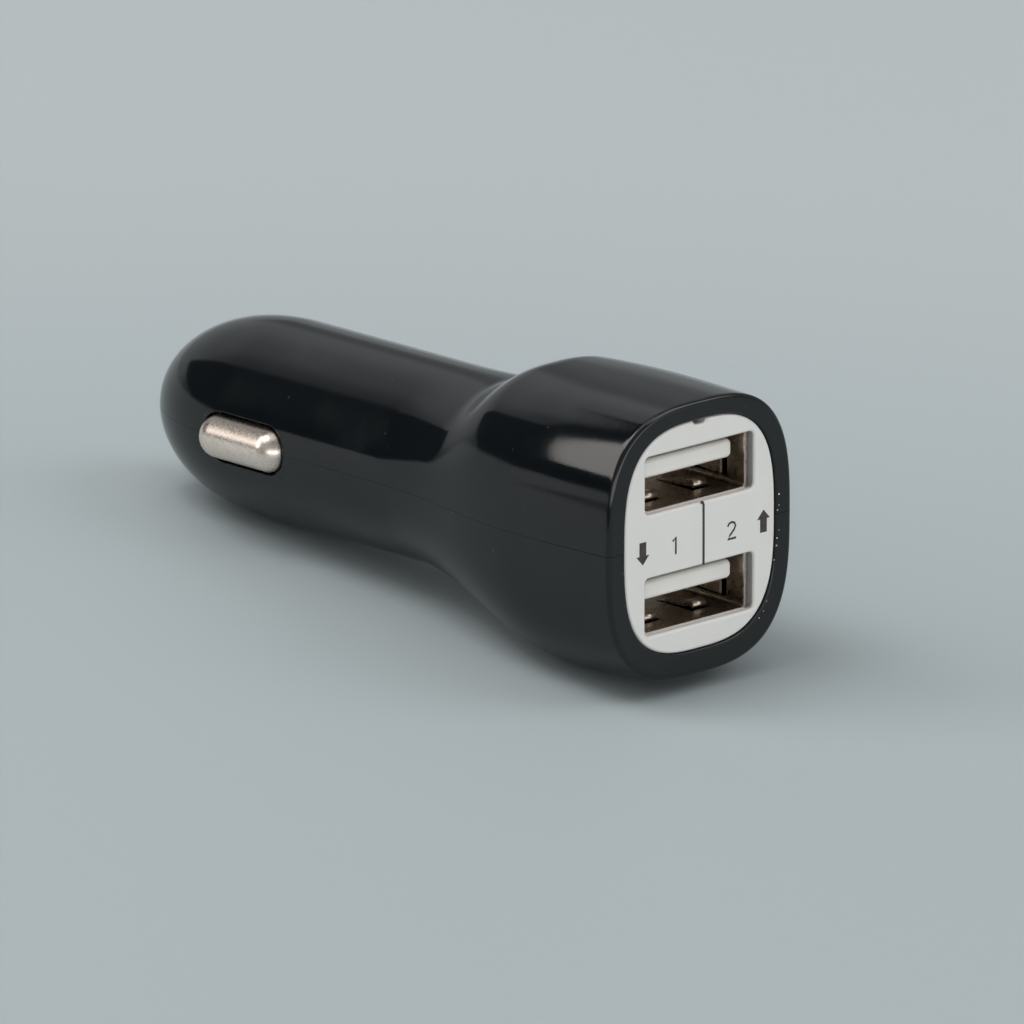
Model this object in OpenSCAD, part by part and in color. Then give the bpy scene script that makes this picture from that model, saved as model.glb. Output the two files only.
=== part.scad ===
// Twin-port 12 volt socket charger, lying on its side as it rests on a table.
// The plug's own axis runs along X with the port face towards +X.
// A station is a distance behind the flat face, measured along that axis.

/* [Housing] */
// Distance from the face to the flat end of the nose
body_length = 66.4; // [62:0.2:72]
// Radius of the straight round barrel
barrel_radius = 9.3; // [8.8:0.1:10]
// Length of the domed nose in front of the straight barrel
nose_length = 13.4; // [11:0.2:15]
// How much further the nose dome would run if it closed to a point
nose_overrun = 2.4; // [1:0.1:4]
// How long the dome stays full before it turns in
nose_fullness = 2.3; // [2:0.01:3]
// How square the shoulder of the dome is
nose_shoulder = 1.75; // [1.6:0.05:2.4]
// Wall thickness of both moulded halves
wall = 1.6; // [1.3:0.1:1.8]
// Width of the hairline gap between the two halves
seam_gap = 0.06; // [0.04:0.01:0.1]

/* [Head] */
// Gap from the side of a port can to the edge of the face plate
plate_side_margin = 2.85; // [2.7:0.05:3]
// Gap from the top of a port can to the edge of the face plate
plate_top_margin = 2.155; // [2.055:0.05:2.255]
// Width of the black rim on each side of the face plate
rim_band_side = 2.05; // [1.9:0.05:2.2]
// Width of the black rim above the face plate
rim_band_top = 1.8; // [1.7:0.05:1.95]
// Width of the black rim below the face plate
rim_band_bottom = 2.35; // [2.2:0.05:2.5]
// How much fuller the sides of the head are than its rim
side_swell = 0.45; // [0.3:0.05:0.7]
// How much fuller the top of the head is than its rim
top_swell = 0.15; // [0.1:0.05:0.5]
// How much fuller the bottom of the head is than its rim
bottom_swell = 0.65; // [0.5:0.05:0.9]
// Station at which the sides are fullest
side_full_station = 12; // [10:0.5:14]
// Station at which the top is fullest, where its steep shoulder starts
top_full_station = 17.5; // [16.5:0.5:18.5]
// Station at which the steep shoulder on top has run out
top_neck_station = 25.5; // [25:0.5:28]
// Station at which the bottom is fullest
bottom_full_station = 9; // [7:0.5:12]
// Station at which the sides and bottom of the neck have run out into the barrel
neck_station = 32.5; // [31:0.5:33]
// Station up to which the head keeps the squareness of its rim
square_station = 8; // [6:0.5:10]
// How square the rim outline is, where 2 is a plain ellipse
rim_squareness = 3.0; // [2.8:0.05:3.2]
// Radius rolled over the outer edge of the rim
rim_round = 0.6; // [0.4:0.1:0.8]

/* [Face plate] */
// Thickness of the face plate
plate_thickness = 1.6; // [1.4:0.1:1.8]
// Depth of the face plate's front below the rim
plate_recess = 0.08; // [0.04:0.02:0.2]
// Gap all round between the face plate and its pocket
plate_clearance = 0.08; // [0.05:0.01:0.12]
// Width of the ledge that the face plate sits against
ledge_width = 0.35; // [0.3:0.05:0.4]
// Length of the ledge behind the face plate
ledge_length = 1.7; // [1.4:0.1:2]
// Radius on the front edge of the face plate
plate_edge_round = 0.2; // [0.1:0.05:0.3]
// Width of the locating notch at the top of the face plate
key_width = 1.3; // [1.2:0.1:1.6]
// Depth of the locating notch
key_depth = 0.4; // [0.3:0.05:0.5]

/* [Ports] */
// Distance between the centres of the two ports
port_pitch = 11.27; // [11:0.01:11.6]
// How much wider than its can an opening in the face plate is on each side
opening_margin = 0.1; // [0.05:0.05:0.2]
// How far the lip of the face plate covers the top and bottom edge of a can
lip_cover = 0.175; // [0.12:0.005:0.2]
// Corner radius of each opening in the face plate
aperture_corner = 0.5; // [0.4:0.1:0.7]
// Outer width of a port can
can_width = 13.1; // [13:0.05:13.2]
// Outer height of a port can
can_height = 5.72; // [5.7:0.01:5.8]
// Sheet thickness of a port can
can_sheet = 0.3; // [0.25:0.05:0.35]
// Length of a port can
can_length = 14; // [12.5:0.5:14.5]
// Depth of the lip of the face plate in front of a port can
can_lip = 0.75; // [0.6:0.05:0.9]
// Gap between a port can and the pocket round it
can_clearance = 0.1; // [0.06:0.02:0.14]
// Gap between each side of the insulating tongue and the inside of its can
tongue_side_gap = 0.7; // [0.6:0.05:0.8]
// Thickness of the insulating tongue
tongue_thickness = 1.84; // [1.7:0.02:1.9]
// Height of the tongue's underside above the port centre
tongue_rise = 0.06; // [0:0.02:0.2]
// Length of the tongue in front of its base block
tongue_length = 9.6; // [8.8:0.1:9.8]
// Width of a contact strip under the tongue
strip_width = 1.0; // [0.9:0.05:1.1]
// Thickness of a contact strip
strip_thickness = 0.25; // [0.2:0.05:0.3]
// Distance of the inner contact strips from the middle
inner_strip_offset = 1.0; // [1:0.05:1.1]
// Distance of the outer contact strips from the middle
outer_strip_offset = 3.5; // [3.4:0.05:3.6]
// Distance of the spring fingers from the middle of a can
finger_offset = 3.1; // [2.9:0.1:3.3]
// Width of a spring finger
finger_width = 1.7; // [1.5:0.1:1.9]
// Length of a spring finger
finger_length = 4.6; // [4:0.1:5]
// How far the free end of a spring finger stands in
finger_set = 0.5; // [0.3:0.05:0.6]

/* [Side contacts] */
// How far the middle of the side contacts lies behind the start of the nose
contact_set_back = 2.5; // [2:0.1:3]
// Length of a side contact's pill
contact_length = 10.2; // [9.6:0.1:10.6]
// Height of a side contact's pill
contact_height = 4.0; // [3.8:0.1:4.2]
// How far a side contact stands out of the barrel
contact_stand_out = 1.5; // [1.3:0.05:1.6]
// How far a side contact can be pressed in
contact_travel = 1.65; // [1.4:0.05:1.7]
// Gap all round between a side contact and its slot
contact_clearance = 0.35; // [0.25:0.05:0.4]
// Sheet thickness of a side contact
contact_sheet = 0.5; // [0.4:0.05:0.6]
// Width of the flange that keeps a side contact in
contact_flange = 0.75; // [0.7:0.05:0.9]
// Gap between the flange and the barrel wall behind it
flange_gap = 0.2; // [0.15:0.05:0.25]

/* [Tip] */
// Radius of the tip pin and of its domed end
tip_radius = 2.75; // [2.5:0.05:2.9]
// How far the tip pin stands out of the nose
tip_stand_out = 3.0; // [2.8:0.1:3.2]
// How far the tip pin can be pressed in
tip_travel = 2.4; // [2:0.1:2.5]
// Radial running clearance of the tip pin
tip_clearance = 0.08; // [0.05:0.01:0.1]
// Length of the bore that guides the tip pin
guide_length = 4.4; // [4:0.1:4.8]
// Radius of the tip pin's flange
tip_flange_radius = 4.1; // [3.8:0.1:4.2]
// Thickness of the tip pin's flange
tip_flange_thickness = 0.9; // [0.8:0.1:1]
// Radius of the tip spring to the middle of its wire
tip_spring_radius = 2.35; // [2.2:0.05:2.5]
// Radius of the wire of the tip spring
tip_wire = 0.25; // [0.2:0.05:0.3]
// Turns of the tip spring
tip_turns = 5; // [4:1:6]
// Gap between a side spring and the inside of its contact
side_spring_gap = 0.1; // [0.06:0.02:0.14]
// Radius of the wire of a side spring
side_wire = 0.18; // [0.15:0.01:0.2]
// Turns of a side spring
side_turns = 4; // [3:1:5]

/* [Inside] */
// Thickness of both circuit boards
board_thickness = 1.6; // [1.5:0.1:1.7]
// Gap between the edge of the port board and the housing wall
port_board_gap = 1; // [0.8:0.1:1.2]
// Gap between the edges of the main board and the bore
main_board_gap = 1.1; // [0.9:0.1:1.4]
// Gap between the end of the main board and the carrier
board_end_gap = 3.1; // [2.8:0.1:4]
// Length of the carrier between the side contacts
carrier_length = 6.2; // [5.8:0.1:6.6]
// Half width of the carrier between the side contacts
carrier_half_width = 2.7; // [2.5:0.1:2.8]
// Half height of the carrier
carrier_half_height = 3.4; // [3.2:0.1:3.6]
// Radius of the pegs that line up the two halves
peg_radius = 0.75; // [0.6:0.05:0.8]
// Gap between seated pieces inside the housing
seat_gap = 0.05; // [0.04:0.01:0.08]
// Radius of the two capacitors
capacitor_radius = 2.5; // [2:0.1:2.7]
// Length of the two capacitors
capacitor_length = 8; // [6:0.5:9]
// Distance of the output capacitor from the port board
output_capacitor_offset = 5; // [3:0.5:5.5]
// Distance of the input capacitor's foot from the end of the main board
input_capacitor_offset = 10; // [9.5:0.5:10.5]
// Distance of the converter chip's middle from the port board
chip_offset = 8; // [6:0.5:8.5]
// Length of the converter chip
chip_length = 5; // [4.4:0.2:5]
// Width of the converter chip
chip_width = 4; // [3:0.5:5]
// Distance of the inductor's middle from the end of the main board
coil_offset = 7; // [6:0.5:7]
// Side of the inductor's square foot
coil_foot = 7.2; // [6:0.2:7.4]
// Height of the inductor
coil_height = 4.4; // [3.5:0.1:4.6]
// Length of the diode
diode_length = 4.2; // [3.6:0.2:4.4]
// Length of a chip resistor or chip capacitor
chip_part_length = 2; // [1.6:0.1:2]

/* [Hidden] */
$fn = 48;
loft_points = 66;
cavity_points = 48;
port_sides = [1, -1];
nose_start = body_length - nose_length;
nose_reach = nose_length + nose_overrun;
contact_station = nose_start - contact_set_back;
bore_radius = barrel_radius - wall;
plate_back = plate_recess + plate_thickness;
ledge_back = plate_back + ledge_length;
can_front = plate_recess + can_lip;
can_back = can_front + can_length;
port_board_front = can_back + seat_gap;
port_board_back = port_board_front + board_thickness;
plate_half_width = can_width / 2 + plate_side_margin;
plate_half_height = (port_pitch + can_height) / 2 + plate_top_margin;
rim_half_width = plate_half_width + rim_band_side;
rim_top_height = plate_half_height + rim_band_top;
rim_bottom_height = plate_half_height + rim_band_bottom;
side_half_width = rim_half_width + side_swell;
top_half_height = rim_top_height + top_swell;
bottom_half_height = rim_bottom_height + bottom_swell;
aperture_width = can_width + 2 * opening_margin;
aperture_height = can_height - 2 * lip_cover;
tongue_width = can_width - 2 * can_sheet - 2 * tongue_side_gap;
tongue_base = 3.2;
port_board_half_width = head_width(port_board_back) - wall - port_board_gap;
port_board_half_height = head_height(port_board_back, 1) - wall - port_board_gap;
tongue_front = can_back - can_sheet - tongue_base - tongue_length;
half_board = board_thickness / 2;
contact_apex = barrel_radius + contact_stand_out;
contact_round = contact_height / 2;
pill_reach = contact_length / 2 - contact_round;
slot_round = contact_round + contact_clearance;
flange_round = slot_round + contact_flange;
flange_out = bore_radius - flange_gap;
flange_in = flange_out - contact_sheet;
bore_end = contact_station + pill_reach + flange_round + 0.5;
guide_start = body_length - guide_length;
tip_flange_front = guide_start - flange_gap;
tip_flange_back = tip_flange_front - tip_flange_thickness;
tip_boss_length = 2;
chamber_radius = tip_flange_radius + 0.3;
carrier_front = contact_station - carrier_length / 2 - 0.3;
carrier_back = carrier_front + carrier_length;
main_board_half_width = bore_radius - main_board_gap;
main_board_end = carrier_front - board_end_gap;
side_spring_radius = contact_round - contact_sheet - side_spring_gap - side_wire;
seat_thickness = 0.8;
seat_margin = 0.7;
clip_half_height = 1.9;
clip_foot = 0.8;
spring_seat = carrier_back + seat_thickness;
clip_sheet = 0.3;
stem_radius = 0.8;
post_radius = 0.9;
post_length = 1.4;

// Smooth run from 0 to 1.
function ease(u) = let (v = max(0, min(1, u))) v * v * (3 - 2 * v);
// Half width and squareness of the head at a station.
function head_width(s) = s < side_full_station
    ? side_half_width + (rim_half_width - side_half_width) * pow(1 - s / side_full_station, 2)
    : barrel_radius + (side_half_width - barrel_radius)
      * ease((neck_station - s) / (neck_station - side_full_station));
function squareness(s) = 2 + (rim_squareness - 2)
    * ease((neck_station - s) / (neck_station - square_station));
// Height of the head above (side 1) or below (side -1) the parting plane at a station.
function head_height(s, side) =
    let (full = side > 0 ? top_full_station : bottom_full_station,
         end = side > 0 ? top_neck_station : neck_station,
         peak = side > 0 ? top_half_height : bottom_half_height,
         rim = side > 0 ? rim_top_height : rim_bottom_height)
    s < full ? peak + (rim - peak) * pow(1 - s / full, 2)
             : barrel_radius + (peak - barrel_radius) * ease((end - s) / (end - full));
// Radius of the nose at a station.
function nose_radius(s) = let (t = max(0, (s - nose_start) / nose_reach))
    barrel_radius * pow(max(0, 1 - pow(t, nose_fullness)), 1 / nose_shoulder);
// Distance to a rounded square outline in the direction of an angle.
function outline_reach(a, w, h, n) = pow(pow(abs(cos(a)) / w, n) + pow(abs(sin(a)) / h, n), -1 / n);
function outline(w, h, n, count) = [for (i = [0:count - 1]) let (a = 360 * i / count)
    outline_reach(a, w, h, n) * [cos(a), sin(a)]];
function ring(s, w, h, n, count) = [for (p = outline(w, h, n, count)) [-s, p[0], p[1]]];
// The upper half of such a ring, closed just above the parting plane.
function half_ring(s, w, h, n, count) = let (o = outline(w, h, n, count))
    [for (i = [0:count / 2]) [-s, o[i][0], i == 0 || i == count / 2 ? seam_gap / 2 : o[i][1]]];

// Stations of the outer skin: the rolled rim first, then the long sweep to the neck.
rim_steps = [for (a = [90:-22.5:0]) [rim_round * (1 - sin(a)), rim_round * (1 - cos(a))]];
sweep_steps = 28;
// The sweep ends a hair inside the round barrel, so that the two join cleanly.
step_in = 0.01;
sweep_stations = [for (i = [1:sweep_steps]) rim_round + (neck_station - rim_round) * i / sweep_steps];
function skin_rings(side) = concat(
    [for (p = rim_steps) half_ring(p[0], head_width(p[0]) - p[1], head_height(p[0], side) - p[1],
                                   squareness(p[0]), loft_points)],
    [for (s = sweep_stations) let (d = s < neck_station ? 0 : step_in)
        half_ring(s, head_width(s) - d, head_height(s, side) - d, squareness(s), loft_points)],
    [half_ring(neck_station + 0.2, barrel_radius - step_in, barrel_radius - step_in, 2, loft_points)]);
cavity_steps = 14;
cavity_length = neck_station - ledge_back;
function cavity_rings(side) = concat(
    [for (i = [0:cavity_steps]) let (s = ledge_back + cavity_length * i / cavity_steps,
                                     d = wall + (i == cavity_steps ? step_in : 0))
        ring(s, head_width(s) - d, head_height(s, side) - d, squareness(s), cavity_points)],
    [ring(neck_station + 0.2, bore_radius - step_in, bore_radius - step_in, 2, cavity_points)]);
nose_steps = 16;
nose_profile = [for (i = [0:nose_steps]) let (s = nose_start + nose_length * sin(90 * i / nose_steps))
    [nose_radius(s), s]];

// Rest pose: the plug tips nose down until nose and head touch the table together.
head_line = [for (s = concat([for (p = rim_steps) p[0]], sweep_stations))
    [-s, -head_height(s, -1) + (s < rim_round ? rim_round * (1 - cos(asin(1 - s / rim_round))) : 0)]];
nose_line = [for (p = nose_profile) [-p[1], -p[0]]];
function lowest(line, tilt) = min([for (p = line) p[0] * sin(tilt) + p[1] * cos(tilt)]);
function rest_tilt(lo, hi, steps) = let (mid = (lo + hi) / 2) steps == 0 ? mid
    : lowest(head_line, mid) < lowest(nose_line, mid) ? rest_tilt(mid, hi, steps - 1)
    : rest_tilt(lo, mid, steps - 1);
tilt = rest_tilt(0, 12, 36);
lift = -lowest(concat(head_line, nose_line), tilt);
front_reach = max([for (p = head_line) p[0] * cos(tilt) - p[1] * sin(tilt)]);
back_reach = -(body_length + tip_stand_out - tip_radius) * cos(tilt) - tip_radius;
shift = -(front_reach + back_reach) / 2;

module lying() {
    translate([shift, 0, lift])
        rotate([0, -tilt, 0])
            children();
}

// Turns a shape drawn along Z into one drawn along the plug, with Z as the station.
module axial() {
    rotate([0, -90, 0])
        children();
}

module loft(rings) {
    n = len(rings[0]);
    m = len(rings);
    sides = [for (k = [0:m - 2], i = [0:n - 1])
        let (a = k * n + i, b = k * n + (i + 1) % n)
        each [[a, b, b + n], [a, b + n, a + n]]];
    polyhedron([for (r = rings) each r],
               concat([[for (i = [n - 1:-1:0]) i]], sides, [[for (i = [0:n - 1]) (m - 1) * n + i]]));
}

// A plate of the rounded square outline between two stations.
module outline_prism(w, h, n, from, to) {
    translate([-to, 0, 0])
        rotate([90, 0, 90])
            linear_extrude(to - from)
                polygon(outline(w, h, n, loft_points));
}

module rounded_rectangle(w, h, r) {
    square([w - 2 * r, h], center = true);
    square([w, h - 2 * r], center = true);
    for (x = [-1, 1], y = [-1, 1])
        translate([x * (w / 2 - r), y * (h / 2 - r)])
            circle(r);
}

// A rounded rectangle across the plug, between two stations.
module slab(w, h, r, from, to) {
    translate([-to, 0, 0])
        rotate([90, 0, 90])
            linear_extrude(to - from)
                rounded_rectangle(w, h, r);
}

// A block given by its stations, its sides and its heights.
module block(from, to, y0, y1, z0, z1) {
    translate([-to, y0, z0])
        cube([to - from, y1 - y0, z1 - z0]);
}

// A stadium that runs across the plug from one distance to another on the +Y side.
module stadium(round, reach, from, to) {
    for (x = [-reach, reach])
        translate([-contact_station + x, from, 0])
            rotate([-90, 0, 0])
                cylinder(r = round, h = to - from);
    translate([-contact_station - reach, from, -round])
        cube([2 * reach, to - from, 2 * round]);
}

module barrel_and_nose() {
    axial()
        rotate_extrude($fn = 96)
            polygon(concat([[0, neck_station], [barrel_radius, neck_station]], nose_profile,
                           [[0, body_length]]));
}

module plate_seat() {
    outline_prism(plate_half_width + plate_clearance, plate_half_height + plate_clearance,
                  rim_squareness, -1, plate_back + seat_gap);
    outline_prism(plate_half_width - ledge_width, plate_half_height - ledge_width,
                  rim_squareness, 0, ledge_back + 0.1);
}

module nose_bores() {
    axial() {
        translate([0, 0, neck_station])
            cylinder(r = bore_radius, h = bore_end - neck_station, $fn = 96);
        cylinder(r = chamber_radius, h = guide_start);
        cylinder(r = tip_radius + tip_clearance, h = body_length + 1);
    }
}

module contact_slots() {
    stadium(slot_round, pill_reach, 0, barrel_radius + 1);
    mirror([0, 1, 0])
        stadium(slot_round, pill_reach, 0, barrel_radius + 1);
}

peg_spots = [[8, side_half_width - wall - 0.9], [bore_end + 2.4, chamber_radius + 1.9]];
peg_height = 1.8;

module pegs(grow) {
    for (p = peg_spots, side = port_sides)
        translate([-p[0], side * p[1], -peg_height])
            cylinder(r = peg_radius + grow, h = 2 * peg_height + (grow > 0 ? 0.2 : 0));
}

// One half of the hollow housing, without its seats. The lower half is drawn turned over.
module half_housing(side) {
    difference() {
        union() {
            loft(skin_rings(side));
            intersection() {
                barrel_and_nose();
                upper_half_space();
            }
        }
        plate_seat();
        loft(cavity_rings(side));
        nose_bores();
        contact_slots();
    }
}

// Ribs, rails and bosses of one half.
module seats(half) {
    // Bosses for the pegs beside the ports.
    for (side = port_sides)
        intersection() {
            translate([-peg_spots[0][0], side * peg_spots[0][1], 0])
                cylinder(r = peg_radius + 0.75, h = 4);
            translate([-20, -side_half_width + 0.6, 0])
                cube([20, 2 * side_half_width - 1.2, 5]);
        }
    // Rails that grip the edges of the main board.
    for (side = port_sides)
        scale([1, side, 1])
            block(neck_station + 1.5, main_board_end - 1, main_board_half_width - 0.7,
                  barrel_radius - 0.9, half_board + seat_gap, half_board + 1.6);
    // Forked rib that holds the edge of the port board.
    difference() {
        block(port_board_front - 1.2, port_board_back + 1.2, -2.5, 2.5,
              port_board_half_height - 1, head_height(port_board_back + 1.2, half) - wall / 2);
        block(port_board_front - seat_gap, port_board_back + seat_gap, -3, 3, 0,
              port_board_half_height + seat_gap);
    }
    // Rib that bears on the carrier.
    block(carrier_front + 1, carrier_back - 1, -2, 2, carrier_half_height + seat_gap,
          barrel_radius - wall / 2);
}

module key_rib() {
    block(plate_recess + 0.1, plate_back + 0.4, -key_width / 2, key_width / 2,
          plate_half_height - key_depth + plate_clearance, plate_half_height + 0.6);
}

module upper_half_space() {
    translate([-100, -50, seam_gap / 2])
        cube([150, 100, 50]);
}

module upper_shell() {
    color([0.03, 0.03, 0.035])
        lying()
            difference() {
                union() {
                    half_housing(1);
                    intersection() {
                        union() {
                            seats(1);
                            key_rib();
                        }
                        upper_half_space();
                    }
                }
                pegs(seat_gap);
            }
}

module lower_shell() {
    color([0.03, 0.03, 0.035])
        lying() {
            mirror([0, 0, 1]) {
                half_housing(-1);
                intersection() {
                    seats(-1);
                    upper_half_space();
                }
            }
            pegs(0);
        }
}

module face_plate() {
    edge = [for (a = [90:-30:0]) [plate_recess + plate_edge_round * (1 - sin(a)),
                                 plate_edge_round * (1 - cos(a))]];
    rings = concat([for (p = edge) ring(p[0], plate_half_width - p[1], plate_half_height - p[1],
                                        rim_squareness, loft_points)],
                   [ring(plate_back, plate_half_width, plate_half_height, rim_squareness, loft_points)]);
    color([0.86, 0.85, 0.83])
        lying() {
            difference() {
                loft(rings);
                for (side = port_sides)
                    translate([0, 0, side * port_pitch / 2]) {
                        slab(aperture_width, aperture_height, aperture_corner, -1, plate_back + 1);
                        slab(can_width + 2 * can_clearance, can_height + 2 * can_clearance,
                             0.7, can_front, plate_back + 1);
                    }
                block(-1, plate_back + 1, -key_width / 2 - plate_clearance,
                      key_width / 2 + plate_clearance, plate_half_height - key_depth,
                      plate_half_height + 1);
            }
            // Two hooks that catch behind the ledge.
            for (side = port_sides)
                scale([1, side, 1]) {
                    block(plate_back, ledge_back + 0.9, plate_half_width - ledge_width - 0.85,
                          plate_half_width - ledge_width - 0.15, -2, 2);
                    block(ledge_back + 0.2, ledge_back + 0.9, plate_half_width - ledge_width - 0.15,
                          plate_half_width - ledge_width + 0.3, -2, 2);
                }
        }
}

module at_port(side) {
    lying()
        translate([0, 0, side * port_pitch / 2])
            children();
}

// A spring finger punched from the top wall of a can and set inwards.
module finger(wall_height) {
    root = can_front + 2.4 + finger_length;
    lean = asin(finger_set / finger_length);
    translate([-root, -finger_width / 2, wall_height - can_sheet])
        rotate([0, lean, 0])
            translate([-0.3, 0, 0])
                cube([finger_length + 0.1, finger_width, can_sheet * 0.8]);
}

module finger_window(wall_height) {
    root = can_front + 2.4 + finger_length;
    block(can_front + 2.2, root, -finger_width / 2 - 0.3, finger_width / 2 + 0.3,
          wall_height - can_sheet - 0.2, wall_height + 0.2);
}

// Four walls of a can, given as turn, distance of the wall and offset of its fingers.
finger_walls = [[0, can_height / 2, finger_offset], [0, can_height / 2, -finger_offset],
                [180, can_height / 2, finger_offset], [180, can_height / 2, -finger_offset],
                [90, can_width / 2, -0.9], [-90, can_width / 2, 0.9]];

module port_can(side) {
    color([0.55, 0.53, 0.5])
        at_port(side) {
            difference() {
                slab(can_width, can_height, 0.65, can_front, can_back);
                slab(can_width - 2 * can_sheet, can_height - 2 * can_sheet, 0.35, can_front - 1,
                     can_back - can_sheet);
                block(can_back - 1, can_back + 1, -5, 5, tongue_rise - 0.6, tongue_rise + 1.4);
                for (f = finger_walls)
                    rotate([f[0], 0, 0])
                        translate([0, f[2], 0])
                            finger_window(f[1]);
            }
            for (f = finger_walls)
                rotate([f[0], 0, 0])
                    translate([0, f[2], 0])
                        finger(f[1]);
            // Legs that go through the port board.
            for (y = [-1, 1])
                scale([1, y, 1])
                    block(can_back - can_sheet, port_board_back + 0.9, can_width / 2 - can_sheet,
                          can_width / 2, -0.75, 0.75);
        }
}

strip_spots = [[-outer_strip_offset, 0], [-inner_strip_offset, 1], [inner_strip_offset, 1],
               [outer_strip_offset, 0]];

module strips(side) {
    color([0.83, 0.66, 0.3])
        at_port(side)
            for (p = strip_spots)
                block(tongue_front + 1.1 + p[1], port_board_back + 0.8, p[0] - strip_width / 2,
                      p[0] + strip_width / 2, tongue_rise, tongue_rise + strip_thickness);
}

module tongue(side) {
    base_front = can_back - can_sheet - tongue_base;
    color([0.9, 0.9, 0.88])
        at_port(side)
            difference() {
                union() {
                    slab(can_width - 2 * can_sheet - 0.1, can_height - 2 * can_sheet - 0.1, 0.3,
                         base_front, can_back - can_sheet);
                    translate([0, 0, tongue_rise + tongue_thickness / 2])
                        slab(tongue_width, tongue_thickness, 0.3, tongue_front, base_front + 0.1);
                }
                for (p = strip_spots)
                    block(tongue_front + 1 + p[1], can_back + 1, p[0] - strip_width / 2 - seat_gap,
                          p[0] + strip_width / 2 + seat_gap, tongue_rise - 0.05,
                          tongue_rise + strip_thickness + seat_gap);
                // The fingers of the can need room in front of the base block only.
                for (y = [-1, 1])
                    block(tongue_front - 0.1, tongue_front + 0.35, y > 0 ? tongue_width / 2 - 0.35 : -6,
                          y > 0 ? 6 : -tongue_width / 2 + 0.35, -0.1, 0.35);
            }
}

tab_spots = [-3, 3];

module port_board() {
    color([0.08, 0.3, 0.14])
        lying()
            difference() {
                outline_prism(port_board_half_width, port_board_half_height, squareness(port_board_back),
                              port_board_front, port_board_back);
                for (side = port_sides)
                    translate([0, 0, side * port_pitch / 2]) {
                        for (y = [-1, 1])
                            scale([1, y, 1])
                                block(can_back - 1, port_board_back + 1, can_width / 2 - can_sheet - 0.1,
                                      can_width / 2 + 0.1, -0.85, 0.85);
                        for (p = strip_spots)
                            block(can_back - 1, port_board_back + 1, p[0] - strip_width / 2 - 0.1,
                                  p[0] + strip_width / 2 + 0.1, tongue_rise - 0.1,
                                  tongue_rise + strip_thickness + 0.1);
                    }
                for (y = tab_spots)
                    block(can_back - 1, port_board_back + 1, y - 1.6, y + 1.6, -half_board - 0.05,
                          half_board + 0.05);
            }
}

module main_board() {
    color([0.08, 0.3, 0.14])
        lying()
            difference() {
                union() {
                    block(port_board_back + seat_gap, main_board_end, -main_board_half_width,
                          main_board_half_width, -half_board, half_board);
                    for (y = tab_spots)
                        block(port_board_front, port_board_back + 0.2, y - 1.5, y + 1.5,
                              -half_board, half_board);
                }
                block(main_board_end - 3, main_board_end + 1, -stem_radius - 0.1, stem_radius + 0.1,
                      -1, 1);
            }
}

chip_station = port_board_back + chip_offset;
chip_foot = 0.15;
chip_body = 1.45;
chip_middle = -1;
lead_pitch = 1.27;
lead_width = 0.4;
lead_length = 0.9;
lead_height = 0.35;

module converter_chip() {
    side = chip_middle - chip_width / 2;
    first = chip_station - 1.5 * lead_pitch - lead_width / 2;
    color([0.1, 0.1, 0.1])
        lying() {
            block(chip_station - chip_length / 2, chip_station + chip_length / 2, side,
                  side + chip_width, half_board + chip_foot, half_board + chip_foot + chip_body);
            for (i = [0:3], y = [side - lead_length, side + chip_width])
                block(first + i * lead_pitch, first + i * lead_pitch + lead_width, y,
                      y + lead_length, half_board, half_board + lead_height);
        }
}

coil_station = main_board_end - coil_offset;
coil_rim = 0.9;

module inductor() {
    color([0.25, 0.23, 0.22])
        lying()
            translate([-coil_station, 0, half_board]) {
                translate([-coil_foot / 2, -coil_foot / 2, 0])
                    cube([coil_foot, coil_foot, coil_rim]);
                cylinder(r = coil_foot * 0.4, h = coil_height - coil_rim / 2);
                translate([0, 0, coil_height - coil_rim])
                    cylinder(r = coil_foot / 2 - 0.1, h = coil_rim);
            }
}

capacitor_gap = 0.1;
capacitor_leg = 0.25;
leg_spread = 1;
leg_bend = 1.1;

// A capacitor laid along the underside of the main board, with bent legs.
module capacitor(station) {
    drop = half_board + capacitor_radius + capacitor_gap;
    color([0.12, 0.12, 0.2])
        lying() {
            translate([0, 0, -drop])
                axial()
                    translate([0, 0, station]) {
                        difference() {
                            cylinder(r = capacitor_radius, h = capacitor_length);
                            translate([0, 0, 0.9])
                                rotate_extrude()
                                    translate([capacitor_radius + 0.1, 0])
                                        circle(0.35);
                        }
                        for (y = [-leg_spread, leg_spread])
                            translate([0, y, -leg_bend - 0.1])
                                cylinder(r = capacitor_leg, h = leg_bend + 0.2);
                    }
            for (y = [-leg_spread, leg_spread])
                translate([-station + leg_bend, y, -drop])
                    cylinder(r = capacitor_leg, h = drop - half_board);
        }
}

module input_capacitor() {
    capacitor(main_board_end - input_capacitor_offset);
}

module output_capacitor() {
    capacitor(port_board_back + output_capacitor_offset);
}

// Both stand beside the inductor's end of the chip.
diode_station = coil_station - coil_foot / 2 - 1.3 - diode_length;
diode_side = 2.4;
diode_width = 2.8;
diode_height = 2;
diode_lead = 0.6;

module diode() {
    color([0.1, 0.1, 0.1])
        lying() {
            block(diode_station, diode_station + diode_length, diode_side, diode_side + diode_width,
                  half_board + 0.1, half_board + 0.1 + diode_height);
            for (s = [diode_station - diode_lead, diode_station + diode_length])
                block(s, s + diode_lead, diode_side + 0.6, diode_side + diode_width - 0.6,
                      half_board, half_board + 0.9);
        }
}

chip_part_pitch = chip_part_length + 1;
chip_part_width = 1.2;
chip_part_height = 0.7;
chip_part_start = port_board_back + 2.3;
chip_part_rows = [-5.4, 3.6];
chip_part_count = floor((diode_station - diode_lead - chip_part_start + 0.7) / chip_part_pitch);

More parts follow.
